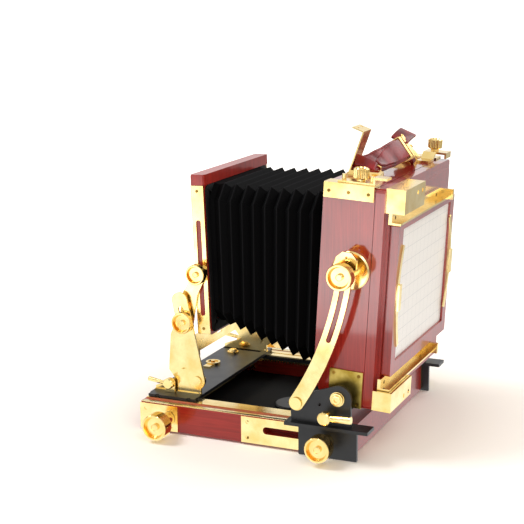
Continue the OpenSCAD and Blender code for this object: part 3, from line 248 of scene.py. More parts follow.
woodAlongBed = stainedWood("hardwood stained, grain along the bed", "Y", 1.0)
woodUpright = stainedWood("hardwood stained, grain upright", "Z", 1.0)
# painted shade: the front standard gets a weaker coat, so its top mirrors less of the white surroundings and looks
# darker
woodStandard = stainedWood("hardwood stained, thinly polished", "Z", 0.3)
goldMaterial = goldPlate("gold plate, polished", "edcb7c", "fce5a6", 0.12)
goldTurned = goldPlate("gold plate, turned", "eec673", "fee09a", 0.08)
screwMaterial = goldPlate("brass, screw heads", "6b4f1e", "a37f38", 0.24)
brassMaterial = waxedBrass("brass, waxed")
blackMetal = blackAnodised("aluminium, black anodised")
blackBracket = blackAnodised("aluminium, black anodised with gold bolts", 91.55, 28.0)
blackEars = blackAnodised("aluminium, black anodised with gold ears", 0.0, 25.8)
blackBoard = mattBlackBoard("plywood, matt black")
bellowsMaterial = pleatedCloth("leatherette, pleated")
glassMaterial = groundGlass("glass, ground")
leatherMaterial = glazedLeather("cowhide, glazed red")
threadMaterial = waxedThread("linen thread, waxed")

finishes = {
    woodAlongBed: ["bed_frame"],
    woodUpright: ["rear_frame", "back_frame", "glass_frame"],
    woodStandard: ["front_frame"],
    brassMaterial: ["box_corner_plates"],
    blackMetal: ["tripod_plate", "track_frame", "base_plate"],
    blackEars: ["clamp_strips"],
    blackBracket: ["side_bracket_left", "side_bracket_right"],
    blackBoard: ["bed_floor", "lens_board"],
    bellowsMaterial: ["bellows"],
    glassMaterial: ["ground_glass"],
    leatherMaterial: ["handle"],
    goldTurned: [n for n in nodes if "knob" in n] + ["base_button", "pinion_shaft"],
}
finishOf = {node: material for material, names in finishes.items() for node in names}
for name, node in nodes.items():
    material = finishOf.get(name, goldMaterial)
    if not node.material_slots:
        node.data.materials.append(material)
    for holder in node.material_slots:
        holder.material = material
print("materials made:", len(bpy.data.materials))


def deselect():
    if bpy.context.object and bpy.context.object.mode != "OBJECT":
        bpy.ops.object.mode_set(mode="OBJECT")
    bpy.ops.object.select_all(action="DESELECT")


def edit():
    bpy.ops.object.mode_set(mode="EDIT")


def leaveEdit():
    bpy.ops.object.mode_set(mode="OBJECT")


def pick(obj, test, kind="FACE"):
    # selects faces, edges or points whose middle passes the test, and goes back to edit mode
    bpy.ops.mesh.select_mode(type=kind)
    bpy.ops.mesh.select_all(action="DESELECT")
    leaveEdit()
    mesh = obj.data
    for part in {"FACE": mesh.polygons, "EDGE": mesh.edges, "VERT": mesh.vertices}[kind]:
        middle = part.center if kind == "FACE" else part.co if kind == "VERT" \
            else (mesh.vertices[part.vertices[0]].co + mesh.vertices[part.vertices[1]].co) / 2
        if test(middle, part):
            part.select = True
    edit()


def addModifier(obj, kind, **settings):
    modifier = obj.modifiers.new(kind.title(), kind)
    for key, value in settings.items():
        setattr(modifier, key, value)
    bpy.context.view_layer.objects.active = obj
    bpy.ops.object.modifier_apply(modifier=modifier.name)


def roundEdges(obj, width, segments=2, angle=40):
    addModifier(obj, "BEVEL", width=width / 1000, segments=segments, limit_method="ANGLE", angle_limit=radians(angle))


def joined(parts):
    # joins the parts into the first one
    deselect()
    for part in parts:
        part.select_set(True)
    bpy.context.view_layer.objects.active = parts[0]
    bpy.ops.object.join()
    return bpy.context.object


def copyOf(master):
    copy = master.copy()
    copy.data = master.data.copy()
    bpy.context.scene.collection.objects.link(copy)
    return copy


def makeRing(sizeX, sizeY, corner, cornerSteps, rim, thick):
    # a flat ring with rounded corners round the origin, in mm
    deselect()
    bpy.ops.mesh.primitive_plane_add(size=1)
    ring = bpy.context.object
    edit()
    bpy.ops.transform.resize(value=(sizeX / 1000, sizeY / 1000, 1), center_override=(0, 0, 0))
    bpy.ops.mesh.bevel(offset=corner / 1000, affect="VERTICES", segments=cornerSteps)
    bpy.ops.mesh.select_all(action="SELECT")
    bpy.ops.mesh.inset(thickness=rim / 1000)
    bpy.ops.mesh.delete(type="FACE")
    leaveEdit()
    addModifier(ring, "SOLIDIFY", thickness=thick / 1000, offset=0)
    return ring


def settle(obj, name, body, material, smooth=35):
    # leaves the piece at the origin with its place in its mesh, dressed and riding on its body
    deselect()
    obj.select_set(True)
    bpy.context.view_layer.objects.active = obj
    bpy.ops.object.transform_apply(location=True, rotation=True, scale=True)
    obj.name = name
    obj.data.name = name
    obj.data.materials.clear()
    obj.data.materials.append(material)
    bpy.ops.object.shade_smooth_by_angle(angle=radians(smooth))
    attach(obj, body)
    return obj


hinge = {"y": 71.75, "z": 46.67, "lean": 3.11}       # the rear box turns here
standard = {"y": -51.0, "z": 122.0, "lean": 2.1}     # the rise knobs' axis


def inRear(x, ly, lz):
    a = radians(hinge["lean"])
    return Vector((x, hinge["y"] + ly * cos(a) + lz * sin(a), hinge["z"] - ly * sin(a) + lz * cos(a))) / 1000


def inFront(x, ly, lz):
    a = radians(standard["lean"])
    return Vector((x, standard["y"] + ly * cos(a) - lz * sin(a), standard["z"] + ly * sin(a) + lz * cos(a))) / 1000


bellows = {"pleats": 12, "depth": 5.0, "frontHalf": 53.5, "rearHalf": 71.0, "nip": 9.0, "extra": 0.3,
           "boardZ": 12.65, "boxMid": 71.7, "wall": 0.7, "flat": (0.543, 0.166), "area": 0.075}


def makeBellows():
    deselect()
    first = inFront(0, 5.55, bellows["boardZ"])
    last = inRear(0, -6.0, bellows["boxMid"])
    steps = 2 * bellows["pleats"]

    def halves(i):
        t = i / steps
        inset = 0 if i % 2 == 0 else bellows["depth"] * min(1, (i + 0.5) / 5)
        half = bellows["frontHalf"] + (bellows["rearHalf"] - bellows["frontHalf"]) * t - inset
        return half / 1000, (half + bellows["extra"] * (1 - t)) / 1000

    w, h = halves(0)
    nip = bellows["nip"] / 1000
    bpy.ops.mesh.primitive_plane_add(size=1, location=first, rotation=(radians(90 + standard["lean"]), 0, 0))
    obj = bpy.context.object
    obj.scale = (2 * w, 2 * h, 1)
    bpy.ops.object.transform_apply(location=True, rotation=True, scale=True)
    edit()
    bpy.ops.mesh.select_all(action="SELECT")
    bpy.ops.mesh.bevel(offset=nip * 1.2, offset_pct=0, affect="VERTICES", segments=1)
    bpy.ops.mesh.delete(type="ONLY_FACE")
    bpy.ops.mesh.select_mode(type="EDGE")
    bpy.ops.mesh.select_all(action="SELECT")
    here = first.copy()
    turn = radians(-(standard["lean"] + hinge["lean"]) / steps)
    for i in range(1, steps + 1):
        w2, h2 = halves(i)
        there = first + (last - first) * (i / steps)
        bpy.ops.mesh.extrude_edges_move(TRANSFORM_OT_translate={"value": there - here})
        bpy.ops.transform.resize(value=(w2 / w, 1, h2 / h), center_override=there)
        bpy.ops.transform.rotate(value=-turn, orient_axis="X", center_override=there)
        w, h, here = w2, h2, there
    bpy.ops.mesh.select_all(action="SELECT")
    bpy.ops.mesh.normals_make_consistent(inside=False)
    leaveEdit()
    addModifier(obj, "SOLIDIFY", thickness=bellows["wall"] / 1000, offset=-1)
    # how near each point is to a ridge, for the grey ridge line in the material
    ridge = obj.data.attributes.new("ridge", "FLOAT", "POINT")
    for i, v in enumerate(obj.data.vertices):
        t = 0.5
        for _ in range(4):
            slope = -tan(radians(standard["lean"])) * (1 - t) + tan(radians(hinge["lean"])) * t
            middle = first.z + (last.z - first.z) * t
            t = (v.co.y - slope * (v.co.z - middle) - first.y) / (last.y - first.y)
        part = (t * bellows["pleats"]) % 1
        ridge.data[i].value = 1 - 2 * min(part, 1 - part)
    settle(obj, "pleated_bellows", "rear_box", bellowsMaterial, smooth=20)
    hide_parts("bellows")
    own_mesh(obj)


bellowsFrame = {"half": 57.4, "low": -47.6, "high": 66.2, "round": 5.0, "rim": 9.0, "thick": 1.3, "seat": 5.2}


def makeBellowsFrame():
    # the thin black frame that holds the bellows to the back of the front standard
    low, high, thick = bellowsFrame["low"], bellowsFrame["high"], bellowsFrame["thick"]
    board = makeRing(2 * bellowsFrame["half"], high - low, bellowsFrame["round"], 6, bellowsFrame["rim"], thick)
    roundEdges(board, 0.4)
    middle = inFront(0, bellowsFrame["seat"] + thick / 2, (high + low) / 2)
    board.data.transform(Matrix.Translation(middle) @ Matrix.Rotation(radians(90 + standard["lean"]), 4, "X"))
    settle(board, "bellows_frame", "front_frame", blackBoard)


makeBellows()
makeBellowsFrame()
print("bellows folded")


handle = {"halfLength": 38.0, "rise": 17.0, "seat": 155.8, "midY": -6.5, "width": 18.0, "thick": 3.4}
foldedEnd = {"width": 16.5, "thick": 5.2, "sunk": 0.6, "from": 1, "to": 13}
tongue = {"width": 15.5, "thick": 1.8, "above": 2.7, "from": 60, "to": 114, "ringEvery": 3, "narrowRings": 13,
          "tip": 0.32}
tail = {"width": 13.5, "thick": 2.4, "above": 3.6, "from": 105, "to": 126, "heldAt": 112,
        "place": (-23, -1.0, 174.3), "lean": -20, "twist": 38}
clamp = {"size": (10.5, 22.5, 4.8), "rim": 1.1, "deep": 2.2, "x": 40.5, "middle": 154.8}
stitch = {"pitch": 3.1, "long": 2.0, "r": 0.27, "in": 1.7, "from": 20, "short": 22}
buckle = {"angle": 117.0, "width": 22.5, "long": 10.0, "wire": 1.5, "round": 2.2, "above": 2.2}
loops = {"angles": (58.5, 104.0, 109.0), "wire": 0.9, "apart": 1.25, "round": 1.3, "spareHigh": 1.9, "spareWide": 1.2,
         "overTongue": 0.9}
flop = {"tilt": (14, 38, 52, 50, 42, 30, 20, 9), "aside": (3, 7, 9, 7, 4, 0, -4, -1),
        "drop": (0, -1, -3, -7, -10, -9, -3, 0), "middle": (0.0, -4.0, 167.0), "size": (91.0, 36.0, 34.0)}
# the arch that the strap is drawn along before it flops: radius, height of its centre, and half of its angle
archR = (handle["halfLength"] ** 2 + handle["rise"] ** 2) / (2 * handle["rise"])
archZ = handle["seat"] + handle["rise"] - archR
archHalf = degrees(asin(handle["halfLength"] / archR))


def onArch(angle, above, ly=handle["midY"]):
    # a point at an angle round the arch, so many mm above its middle line
    r = archR + above
    return inRear(r * cos(radians(angle)), ly, archZ + r * sin(radians(angle)))


def archTurn(angle):
    # turns a piece drawn flat (X across the strap's thickness, Y its width) to stand at that angle of the arch
    return Matrix.Rotation(radians(-hinge["lean"]), 4, "X") @ Matrix.Rotation(-radians(angle), 4, "Y")


def archStrip(width, thick, above, fromDeg, toDeg, steps):
    # a strip of leather spun round the arch of the handle
    deselect()
    bpy.ops.mesh.primitive_plane_add(size=1)
    obj = bpy.context.object
    edit()
    bpy.ops.transform.resize(value=(thick / 1000, width / 1000, 1), center_override=(0, 0, 0))
    leaveEdit()
    obj.data.transform(Matrix.Translation(onArch(fromDeg, above)) @ archTurn(fromDeg))
    edit()
    bpy.ops.mesh.select_all(action="SELECT")
    axis = (archTurn(0) @ Vector((0, 1, 0, 0))).to_3d()
    bpy.ops.mesh.spin(steps=steps, angle=radians(toDeg - fromDeg), center=inRear(0, handle["midY"], archZ), axis=axis)
    bpy.ops.mesh.select_all(action="SELECT")
    bpy.ops.mesh.remove_doubles(threshold=1e-6)
    bpy.ops.mesh.normals_make_consistent(inside=False)
    leaveEdit()
    return obj


def makeCage():
    # the handle has flopped to the rear and twisted: a lattice leans each part of the arch by its own amount
    deselect()
    bpy.ops.object.add(type="LATTICE", location=inRear(*flop["middle"]), rotation=(radians(-hinge["lean"]), 0, 0))
    cage = bpy.context.object
    cage.scale = [side / 1000 for side in flop["size"]]
    planes = len(flop["tilt"])
    cage.data.points_u, cage.data.points_v, cage.data.points_w = planes, 2, 2
    cage.data.interpolation_type_u = cage.data.interpolation_type_v = cage.data.interpolation_type_w = "KEY_LINEAR"
    bpy.context.view_layer.update()
    for k, point in enumerate(cage.data.points):
        i, j, m = k % planes, (k // planes) % 2, k // (2 * planes)
        x = flop["middle"][0] + flop["size"][0] * (i / (planes - 1) - 0.5)
        height = max(handle["seat"], archZ + max(archR * archR - x * x, 0) ** 0.5)
        dy = flop["middle"][1] + flop["size"][1] * (j - 0.5) - handle["midY"]
        dz = flop["middle"][2] + flop["size"][2] * (m - 0.5) - height
        t = radians(flop["tilt"][i])
        ly = handle["midY"] + flop["aside"][i] + dy * cos(t) + dz * sin(t)
        lz = height + flop["drop"][i] - dy * sin(t) + dz * cos(t)
        point.co_deform = cage.matrix_world.inverted() @ inRear(x, ly, lz)
    return cage


def dressLeather(piece, name, width, segments=2, cage=None):
    roundEdges(piece, width, segments)
    if cage:
        addModifier(piece, "LATTICE", object=cage)
    return settle(piece, name, "rear_box", leatherMaterial)


def makeHandle(cage):
    low, high = 90 - archHalf, 90 + archHalf
    strap = archStrip(handle["width"], handle["thick"], 0, low, high, 36)
    dressLeather(strap, "handle_strap", 1.2, 3, cage)
    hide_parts("handle")
    # the stuffed end where the strap is folded back on itself
    above = 0.5 * (handle["thick"] + foldedEnd["thick"]) - foldedEnd["sunk"]
    pad = archStrip(foldedEnd["width"], foldedEnd["thick"], above, low + foldedEnd["from"], low + foldedEnd["to"], 8)
    dressLeather(pad, "handle_folded_end", 2.1, 4, cage)
    # the upper layer that starts as a narrow tongue at the rear edge and grows to the strap's width at the loops
    every, rings, above = tongue["ringEvery"], tongue["narrowRings"], tongue["above"]
    steps = (tongue["to"] - tongue["from"]) // every
    layer = archStrip(tongue["width"], tongue["thick"], above, tongue["from"], tongue["to"], steps)
    edge = handle["midY"] + tongue["width"] / 2
    edit()
    for i in range(rings):
        angle = tongue["from"] + every * i
        ring = onArch(angle, above)
        along = (inRear(-sin(radians(angle)), 0, cos(radians(angle))) - inRear(0, 0, 0)).normalized()
        pick(layer, lambda middle, point: abs((middle - ring).dot(along)) < 0.0003, kind="VERT")
        share = tongue["tip"] + (1 - tongue["tip"]) * sin(pi * i / (2 * rings))
        bpy.ops.transform.resize(value=(1, share, 1), center_override=onArch(angle, above, edge))
    leaveEdit()
    dressLeather(layer, "handle_tongue", 0.7, 2, cage)
    # the strap's end, which stands up past the buckle
    end = archStrip(tail["width"], tail["thick"], tail["above"], tail["from"], tail["to"], 10)
    turn = Matrix.Rotation(radians(tail["lean"]), 4, "X") @ Matrix.Rotation(radians(tail["twist"]), 4, "Y")
    held = onArch(tail["heldAt"], tail["above"])
    end.data.transform(Matrix.Translation(inRear(*tail["place"])) @ turn @ Matrix.Translation(-held))
    dressLeather(end, "handle_tail", 0.7)


def makeLoops(cage):
    # pairs of thin gold wires round the strap
    rings = []
    for angle in loops["angles"]:
        above = 0 if angle < 90 else loops["overTongue"]
        for s in (-0.5, 0.5):
            ring = makeRing(handle["thick"] + 2 * above + loops["spareHigh"], handle["width"] + loops["spareWide"],
                            loops["round"], 3, loops["wire"], loops["wire"])
            roundEdges(ring, 0.28)
            turn = angle + degrees(s * loops["apart"] / 50)
            ring.data.transform(Matrix.Translation(onArch(turn, above)) @ archTurn(turn))
            rings.append(ring)
    loopSet = joined(rings)
    addModifier(loopSet, "LATTICE", object=cage)
    return loopSet


def makeEnds():
    # a bevelled gold clamp on the box at each end of the strap, hollowed where the leather goes in
    ends = []
    for s in (1, -1):
        deselect()
        bpy.ops.mesh.primitive_cube_add(size=1)
        end = bpy.context.object
        edit()
        bpy.ops.transform.resize(value=[side / 1000 for side in clamp["size"]], center_override=(0, 0, 0))
        pick(end, lambda middle, face: face.normal.z > 0.9)
        bpy.ops.mesh.inset(thickness=clamp["rim"] / 1000)
        bpy.ops.mesh.extrude_region_move(TRANSFORM_OT_translate={"value": (0, 0, -clamp["deep"] / 1000)})
        pick(end, lambda middle, face: face.normal.z < -0.9 and middle.z < -0.002)
        bpy.ops.transform.resize(value=(1.12, 1.08, 1), center_override=(0, 0, -clamp["size"][2] / 2000))
        leaveEdit()
        roundEdges(end, 0.35, angle=30)
        place = inRear(s * clamp["x"], handle["midY"], clamp["middle"])
        end.data.transform(Matrix.Translation(place) @ Matrix.Rotation(radians(-hinge["lean"]), 4, "X"))
        ends.append(end)
    return ends


def makeFittings(cage):
    fittings = joined(makeEnds() + [makeLoops(cage)])
    settle(fittings, "handle_loops_and_ends", "rear_box", goldTurned)
    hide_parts("handle_fittings")


def makeBuckle(cage):
    # a wire frame with rounded corners, its crossbar and prong, lying on the strap
    wire = buckle["wire"]
    parts = [makeRing(buckle["long"], buckle["width"], buckle["round"], 4, wire, wire)]
    roundEdges(parts[0], 0.42, 3)
    crossbar = (buckle["width"] - 2, (pi / 2, 0, 0), (0, 0, 0))
    prong = (buckle["long"] + 1, (0, pi / 2, 0), (0, 0, wire * 0.8))
    for length, turn, place in (crossbar, prong):
        bpy.ops.mesh.primitive_cylinder_add(vertices=20, radius=0.42 * wire / 1000, depth=length / 1000,
                                            location=Vector(place) / 1000, rotation=turn)
        bar = bpy.context.object
        edit()
        pick(bar, lambda middle, face: len(face.vertices) > 4)
        bpy.ops.mesh.bevel(offset=0.0003, segments=2)
        leaveEdit()
        parts.append(bar)
    whole = joined(parts)
    bpy.ops.object.transform_apply(location=True, rotation=True, scale=True)
    # drawn flat in X and Y, its face up; Z becomes the way out of the arch
    stand = archTurn(buckle["angle"]) @ Matrix.Rotation(pi / 2, 4, "Y")
    whole.data.transform(Matrix.Translation(onArch(buckle["angle"], handle["thick"] / 2 + buckle["above"])) @ stand)
    addModifier(whole, "LATTICE", object=cage)
    settle(whole, "handle_buckle", "rear_box", goldTurned)


def makeStitches(cage):
    deselect()
    bpy.ops.mesh.primitive_cylinder_add(vertices=8, radius=stitch["r"] / 1000, depth=stitch["long"] / 1000)
    master = bpy.context.object
    edit()
    pick(master, lambda middle, face: len(face.vertices) > 4)
    bpy.ops.mesh.bevel(offset=0.00012, segments=1)
    leaveEdit()
    copies = []
    angle = 90 - archHalf + stitch["from"]
    while angle < 90 + archHalf - stitch["short"]:
        for s in (1, -1):
            copy = copyOf(master)
            place = onArch(angle, handle["thick"] / 2 + 0.02, handle["midY"] + s * (handle["width"] / 2 - stitch["in"]))
            copy.data.transform(Matrix.Translation(place) @ archTurn(angle))
            copies.append(copy)
        angle += degrees(stitch["pitch"] / archR)
    bpy.data.objects.remove(master)
    stitches = joined(copies)
    addModifier(stitches, "LATTICE", object=cage)
    settle(stitches, "handle_stitches", "rear_box", threadMaterial)


cage = makeCage()
makeHandle(cage)
makeFittings(cage)
makeBuckle(cage)
makeStitches(cage)
bpy.data.objects.remove(cage)
print("handle made")


knobs = {"kinds": ("focus_knob", "arm_knob", "rear_lock_knob", "rise_knob", "tilt_knob"), "mills": 72, "knurl": 0.97,
         "rim": 0.83, "dish": 0.34, "floor": 0.70, "stud": 0.27, "studHigh": 0.20, "chamfer": 0.55}


def makeKnob(name, body):
    # head, necks and radius are read off the solid that the turned knob stands for
    node = nodes[name]
    corners = [node.matrix_world @ v.co for v in node.data.vertices]
    s = 1 if sum(c.x for c in corners) > 0 else -1
    y, z = [(min(c[k] for c in corners) + max(c[k] for c in corners)) / 2 for k in (1, 2)]
    rings = [(abs(c.x), ((c.y - y) ** 2 + (c.z - z) ** 2) ** 0.5) for c in corners]
    back, face, r = min(x for x, _ in rings), max(x for x, _ in rings), max(d for _, d in rings)
    headFrom = min(x for x, d in rings if d > 0.8 * r)
    start, top = headFrom - back, face - back
    necks = sorted({round(d, 4) for x, d in rings if 0.001 < d < 0.8 * r and x < headFrom - 0.0003})
    steps = sorted((min(x for x, d in rings if abs(d - neck) < 0.0001 and x < headFrom + 0.0001) - back, neck)
                   for neck in necks)
    thin = steps[0][1] if steps else 0.5 * r
    deselect()
    bpy.ops.mesh.primitive_circle_add(vertices=2 * knobs["mills"], radius=thin, fill_type="NGON")
    knob = bpy.context.object
    edit()
    bpy.ops.mesh.select_all(action="SELECT")
    here = {"z": 0.0, "r": thin}

    def goTo(radius, z):
        bpy.ops.mesh.extrude_region_move(TRANSFORM_OT_translate={"value": (0, 0, z - here["z"])})
        if radius != here["r"]:
            bpy.ops.transform.resize(value=(radius / here["r"], radius / here["r"], 1), center_override=(0, 0, z))
        here["z"], here["r"] = z, radius

    for i, (_, radius) in enumerate(steps):
        if i:
            goTo(radius, here["z"])
        goTo(radius, steps[i + 1][0] if i + 1 < len(steps) else start)
    chamfer = knobs["chamfer"] / 1000
    rim, floor, stud, dish, high = [knobs[key] * r for key in ("rim", "floor", "stud", "dish", "studHigh")]
    for radius, height in ((r - chamfer, start), (r, start + chamfer), (r, top - chamfer), (r - chamfer, top),
                           (rim, top), (floor, top - dish), (stud, top - dish), (stud, top - dish + high),
                           (0.75 * stud, top - dish + 1.2 * high)):
        goTo(radius, height)
    # every second line of points round the head is drawn in for the knurl
    turn = pi / knobs["mills"]
    low, up = start + 0.5 * chamfer, top - 0.5 * chamfer
    pick(knob, lambda middle, point: low < middle.z < up and middle.xy.length > 0.99 * r
         and round(atan2(middle.y, middle.x) / turn) % 2 == 0, kind="VERT")
    bpy.ops.transform.resize(value=(knobs["knurl"], knobs["knurl"], 1), center_override=(0, 0, 0))
    bpy.ops.mesh.select_all(action="SELECT")
    bpy.ops.mesh.normals_make_consistent(inside=False)
    leaveEdit()
    knob.data.transform(Matrix.Translation((s * back, y, z)) @ Matrix.Rotation(s * pi / 2, 4, "Y"))
    settle(knob, "turned_" + name, body, goldTurned, smooth=30)
    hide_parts(name)


for kind in knobs["kinds"]:
    for side in ("left", "right"):
        makeKnob(kind + "_" + side, "pinion" if kind == "focus_knob" else kind + "_" + side)
print("knobs turned")


scale = {"from": -91.0, "to": 62.0, "inner": 80.8, "outer": 85.7, "low": 22.45, "thick": 0.45}


def engravedScale(name):
    # brass strip with blackened engraved ticks every 2 mm, and longer ones every 10 mm
    material, tree, shader, place = newMaterial(name)
    parts = addNode(tree, "ShaderNodeSeparateXYZ", links={"Vector": place})
    across = addNode(tree, "ShaderNodeMath", links={0: parts.outputs["X"]}, operation="ABSOLUTE").outputs[0]
    ticks = []
    for pitch, reach in ((0.001, 0.0838), (0.005, 0.0822)):
        near = addNode(tree, "ShaderNodeMath", {1: pitch}, {0: parts.outputs["Y"]}, operation="PINGPONG").outputs[0]
        line = addNode(tree, "ShaderNodeMath", {1: 0.00013}, {0: near}, operation="LESS_THAN").outputs[0]
        longEnough = addNode(tree, "ShaderNodeMath", {1: reach}, {0: across}, operation="GREATER_THAN").outputs[0]
        ticks.append(addNode(tree, "ShaderNodeMath", links={0: line, 1: longEnough}, operation="MULTIPLY").outputs[0])
    tick = addNode(tree, "ShaderNodeMath", links={0: ticks[0], 1: ticks[1]}, operation="MAXIMUM").outputs[0]
    tarnish = addNode(tree, "ShaderNodeTexNoise", {"Scale": perMm(8), "Detail": 3.0}, {"Vector": place})
    brass = addNode(tree, "ShaderNodeValToRGB", links={"Fac": tarnish.outputs["Fac"]},
                    stops=[(0.3, "ecd593"), (0.7, "f9e9b6")])
    colour = addNode(tree, "ShaderNodeMix", {7: toLinear("2b2418")}, {0: tick, 6: brass.outputs["Color"]},
                     data_type="RGBA")
    metal = addNode(tree, "ShaderNodeMath", {0: 1.0}, {1: tick}, operation="SUBTRACT")
    deep = addNode(tree, "ShaderNodeBump", {"Strength": 0.4, "Distance": 0.0001}, {"Height": metal.outputs[0]})
    feed(tree, shader, {"Roughness": 0.24}, {"Base Color": colour.outputs[2], "Metallic": metal.outputs[0],
                                             "Normal": deep.outputs["Normal"]})
    return material


def makeScales():
    # the graduated strips let into the bed's top edges
    scaleMaterial = engravedScale("brass, engraved scale")
    for hand, s in (("left", 1), ("right", -1)):
        deselect()
        bpy.ops.mesh.primitive_cube_add(size=1)
        strip = bpy.context.object
        edit()
        size = (scale["outer"] - scale["inner"], scale["to"] - scale["from"], scale["thick"])
        bpy.ops.transform.resize(value=[side / 1000 for side in size], center_override=(0, 0, 0))
        pick(strip, lambda middle, line: middle.z > 0.0001, kind="EDGE")
        bpy.ops.mesh.bevel(offset=0.00015, segments=2)
        bpy.ops.mesh.select_all(action="SELECT")
        middle = (s * (scale["outer"] + scale["inner"]) / 2, (scale["to"] + scale["from"]) / 2,
                  scale["low"] + scale["thick"] / 2)
        bpy.ops.transform.translate(value=[place / 1000 for place in middle])
        leaveEdit()
        settle(strip, "bed_scale_" + hand, "bed", scaleMaterial, smooth=30)


makeScales()
print("scales let in")

hingeBolt = {"x": 93.7, "ringR": 4.6, "ring": 0.9, "edge": 0.3, "groove": 0.4, "r": 3.5, "high": 1.7, "dome": 0.5,
             "hexR": 1.7, "hexDeep": 1.0}


def makeHingeBolts():
    # a round head with a hexagon socket on the rear box's hinge, in a ringed washer
    ring, edge, groove, high = [hingeBolt[key] / 1000 for key in ("ring", "edge", "groove", "high")]
    heads = []
    for s in (1, -1):
        deselect()
        bpy.ops.mesh.primitive_cylinder_add(vertices=40, radius=hingeBolt["ringR"] / 1000, depth=ring,
                                            location=(0, 0, ring / 2))
        bolt = bpy.context.object
        bpy.ops.object.transform_apply(location=True, rotation=True, scale=True)
        edit()
        pick(bolt, lambda middle, face: face.normal.z > 0.9)
        bpy.ops.mesh.bevel(offset=edge, segments=3)
        pick(bolt, lambda middle, face: face.normal.z > 0.99 and len(face.vertices) > 8)
        bpy.ops.mesh.inset(thickness=(hingeBolt["ringR"] - hingeBolt["r"]) / 1000 - edge)
        bpy.ops.mesh.extrude_region_move(TRANSFORM_OT_translate={"value": (0, 0, -groove)})
        bpy.ops.mesh.extrude_region_move(TRANSFORM_OT_translate={"value": (0, 0, high)})
        bpy.ops.mesh.bevel(offset=hingeBolt["dome"] / 1000, segments=3)
        leaveEdit()
        bpy.ops.mesh.primitive_cylinder_add(vertices=6, radius=hingeBolt["hexR"] / 1000,
                                            depth=2 * hingeBolt["hexDeep"] / 1000,
                                            location=(0, 0, ring - groove + high))
        socket = bpy.context.object
        addModifier(bolt, "BOOLEAN", object=socket, operation="DIFFERENCE", solver="EXACT")
        bpy.data.objects.remove(socket)
        bolt.data.transform(Matrix.Translation(Vector((s * hingeBolt["x"], hinge["y"], hinge["z"])) / 1000)
                            @ Matrix.Rotation(s * pi / 2, 4, "Y"))
        heads.append(bolt)
    settle(joined(heads), "hinge_bolts", "rear_carriage", goldTurned, smooth=30)


makeHingeBolts()
print("hinge bolts fitted")

screw = {"r": 1.3, "high": 0.7, "slot": 0.34, "slotDeep": 0.3, "bevel": 0.15, "sunk": 0.5}


def makeScrew():
    # one slotted head along +Z, its seat at the origin
    deselect()
    bpy.ops.mesh.primitive_cylinder_add(vertices=28, radius=screw["r"] / 1000, depth=screw["high"] / 1000,
                                        location=(0, 0, screw["high"] / 2000))
    head = bpy.context.object
    edit()
    pick(head, lambda middle, face: middle.z > screw["high"] / 1000 - 1e-6)
    bpy.ops.mesh.bevel(offset=screw["bevel"] / 1000, segments=2)
    leaveEdit()
    bpy.ops.mesh.primitive_cube_add(size=1, location=(0, 0, screw["high"] / 1000))
    blade = bpy.context.object
    blade.scale = (4 * screw["r"] / 1000, screw["slot"] / 1000, 2 * screw["slotDeep"] / 1000)
    bpy.ops.object.transform_apply(location=True, rotation=True, scale=True)
    addModifier(head, "BOOLEAN", object=blade, operation="DIFFERENCE", solver="EXACT")
    bpy.data.objects.remove(blade)
    return head


# where each body's screws sit, and which way they face
bedScrews = ((-73.4, 20.8), (-73.4, 5.0), (-62.3, 6.8), (-62.3, 18.5), (-0.6, 19.2), (-0.6, 5.4), (28.9, 19.1),
             (28.9, 5.2))
boxScrews = ((-7.85, -5.6), (11.1, -5.6), (-7.85, 15.5), (11.1, 15.5), (-19.3, 147.4), (-4.7, 147.4), (9.9, 147.4))
screwPlaces = {
    "bed": [((s * 87.2, y, z), (s, 0, 0)) for s in (1, -1) for y, z in bedScrews],
    "front_frame": [(inFront(s * 60.0, 0, z) * 1000, (s, 0, 0)) for s in (1, -1) for z in (-44.2, 62.0)],
    "rear_box": [(inRear(s * 81.2, ly, lz) * 1000, (s, 0, 0)) for s in (1, -1) for ly, lz in boxScrews],
    "back": [(inRear(x, 35.8, lz) * 1000, (0, 1, 0)) for x in (35.9, 54.5) for lz in (145.2, -4.0)],
}


def makeScrews():
    master = makeScrew()
    for body, places in screwPlaces.items():
        copies = []
        for i, (place, out) in enumerate(places):
            copy = copyOf(master)
            # no two slots in a row stand alike
            slotTurn = Matrix.Rotation(radians((37 * i + 20) % 180), 4, "Z")
            face = Vector(out).to_track_quat("Z", "Y").to_matrix().to_4x4()
            seat = (Vector(place) - screw["sunk"] * Vector(out)) / 1000
            copy.data.transform(Matrix.Translation(seat) @ face @ slotTurn)
            copies.append(copy)
        settle(joined(copies), body + "_screws", body, screwMaterial, smooth=30)
    bpy.data.objects.remove(master)


makeScrews()
print("screws set")


view = {"azimuth": 113.77, "elevation": 12.61, "roll": -0.44, "place": (0.9422, 0.3882, 0.3498), "lens": 91.6}


def makeCamera():
    a, e, r = radians(view["azimuth"]), radians(view["elevation"]), radians(view["roll"])
    back = Vector((sin(a) * cos(e), -cos(a) * cos(e), sin(e)))
    right = (-back).cross(Vector((0, 0, 1))).normalized()
    up = right.cross(-back)
    right, up = right * cos(r) + up * sin(r), up * cos(r) - right * sin(r)
    camera = bpy.data.cameras.new("camera")
    camera.lens, camera.sensor_width = view["lens"], 36
    camera.clip_start, camera.clip_end = 0.05, 20
    obj = bpy.data.objects.new("camera", camera)
    obj.matrix_world = Matrix.Translation(view["place"]) @ Matrix((right, up, back)).transposed().to_4x4()
    bpy.context.scene.collection.objects.link(obj)
    bpy.context.scene.camera = obj


lamps = {
    "window": {"place": (1.0, 0.9, 1.2), "size": 0.9, "power": 8.5, "colour": "fffaf2"},
    "rim": {"place": (-0.9, 0.6, 1.0), "size": 0.7, "power": 5.0, "colour": "ffffff"},
    "top": {"place": (0.4, -0.8, 1.3), "size": 0.6, "power": 12.0, "colour": "ffffff"},
}
# a white card lying beside the camera that only the polished pieces mirror
cards = {
    "side card": {"place": (0.78, -0.3, 0.004), "size": (0.8, 1.4), "shine": 2.2},
}


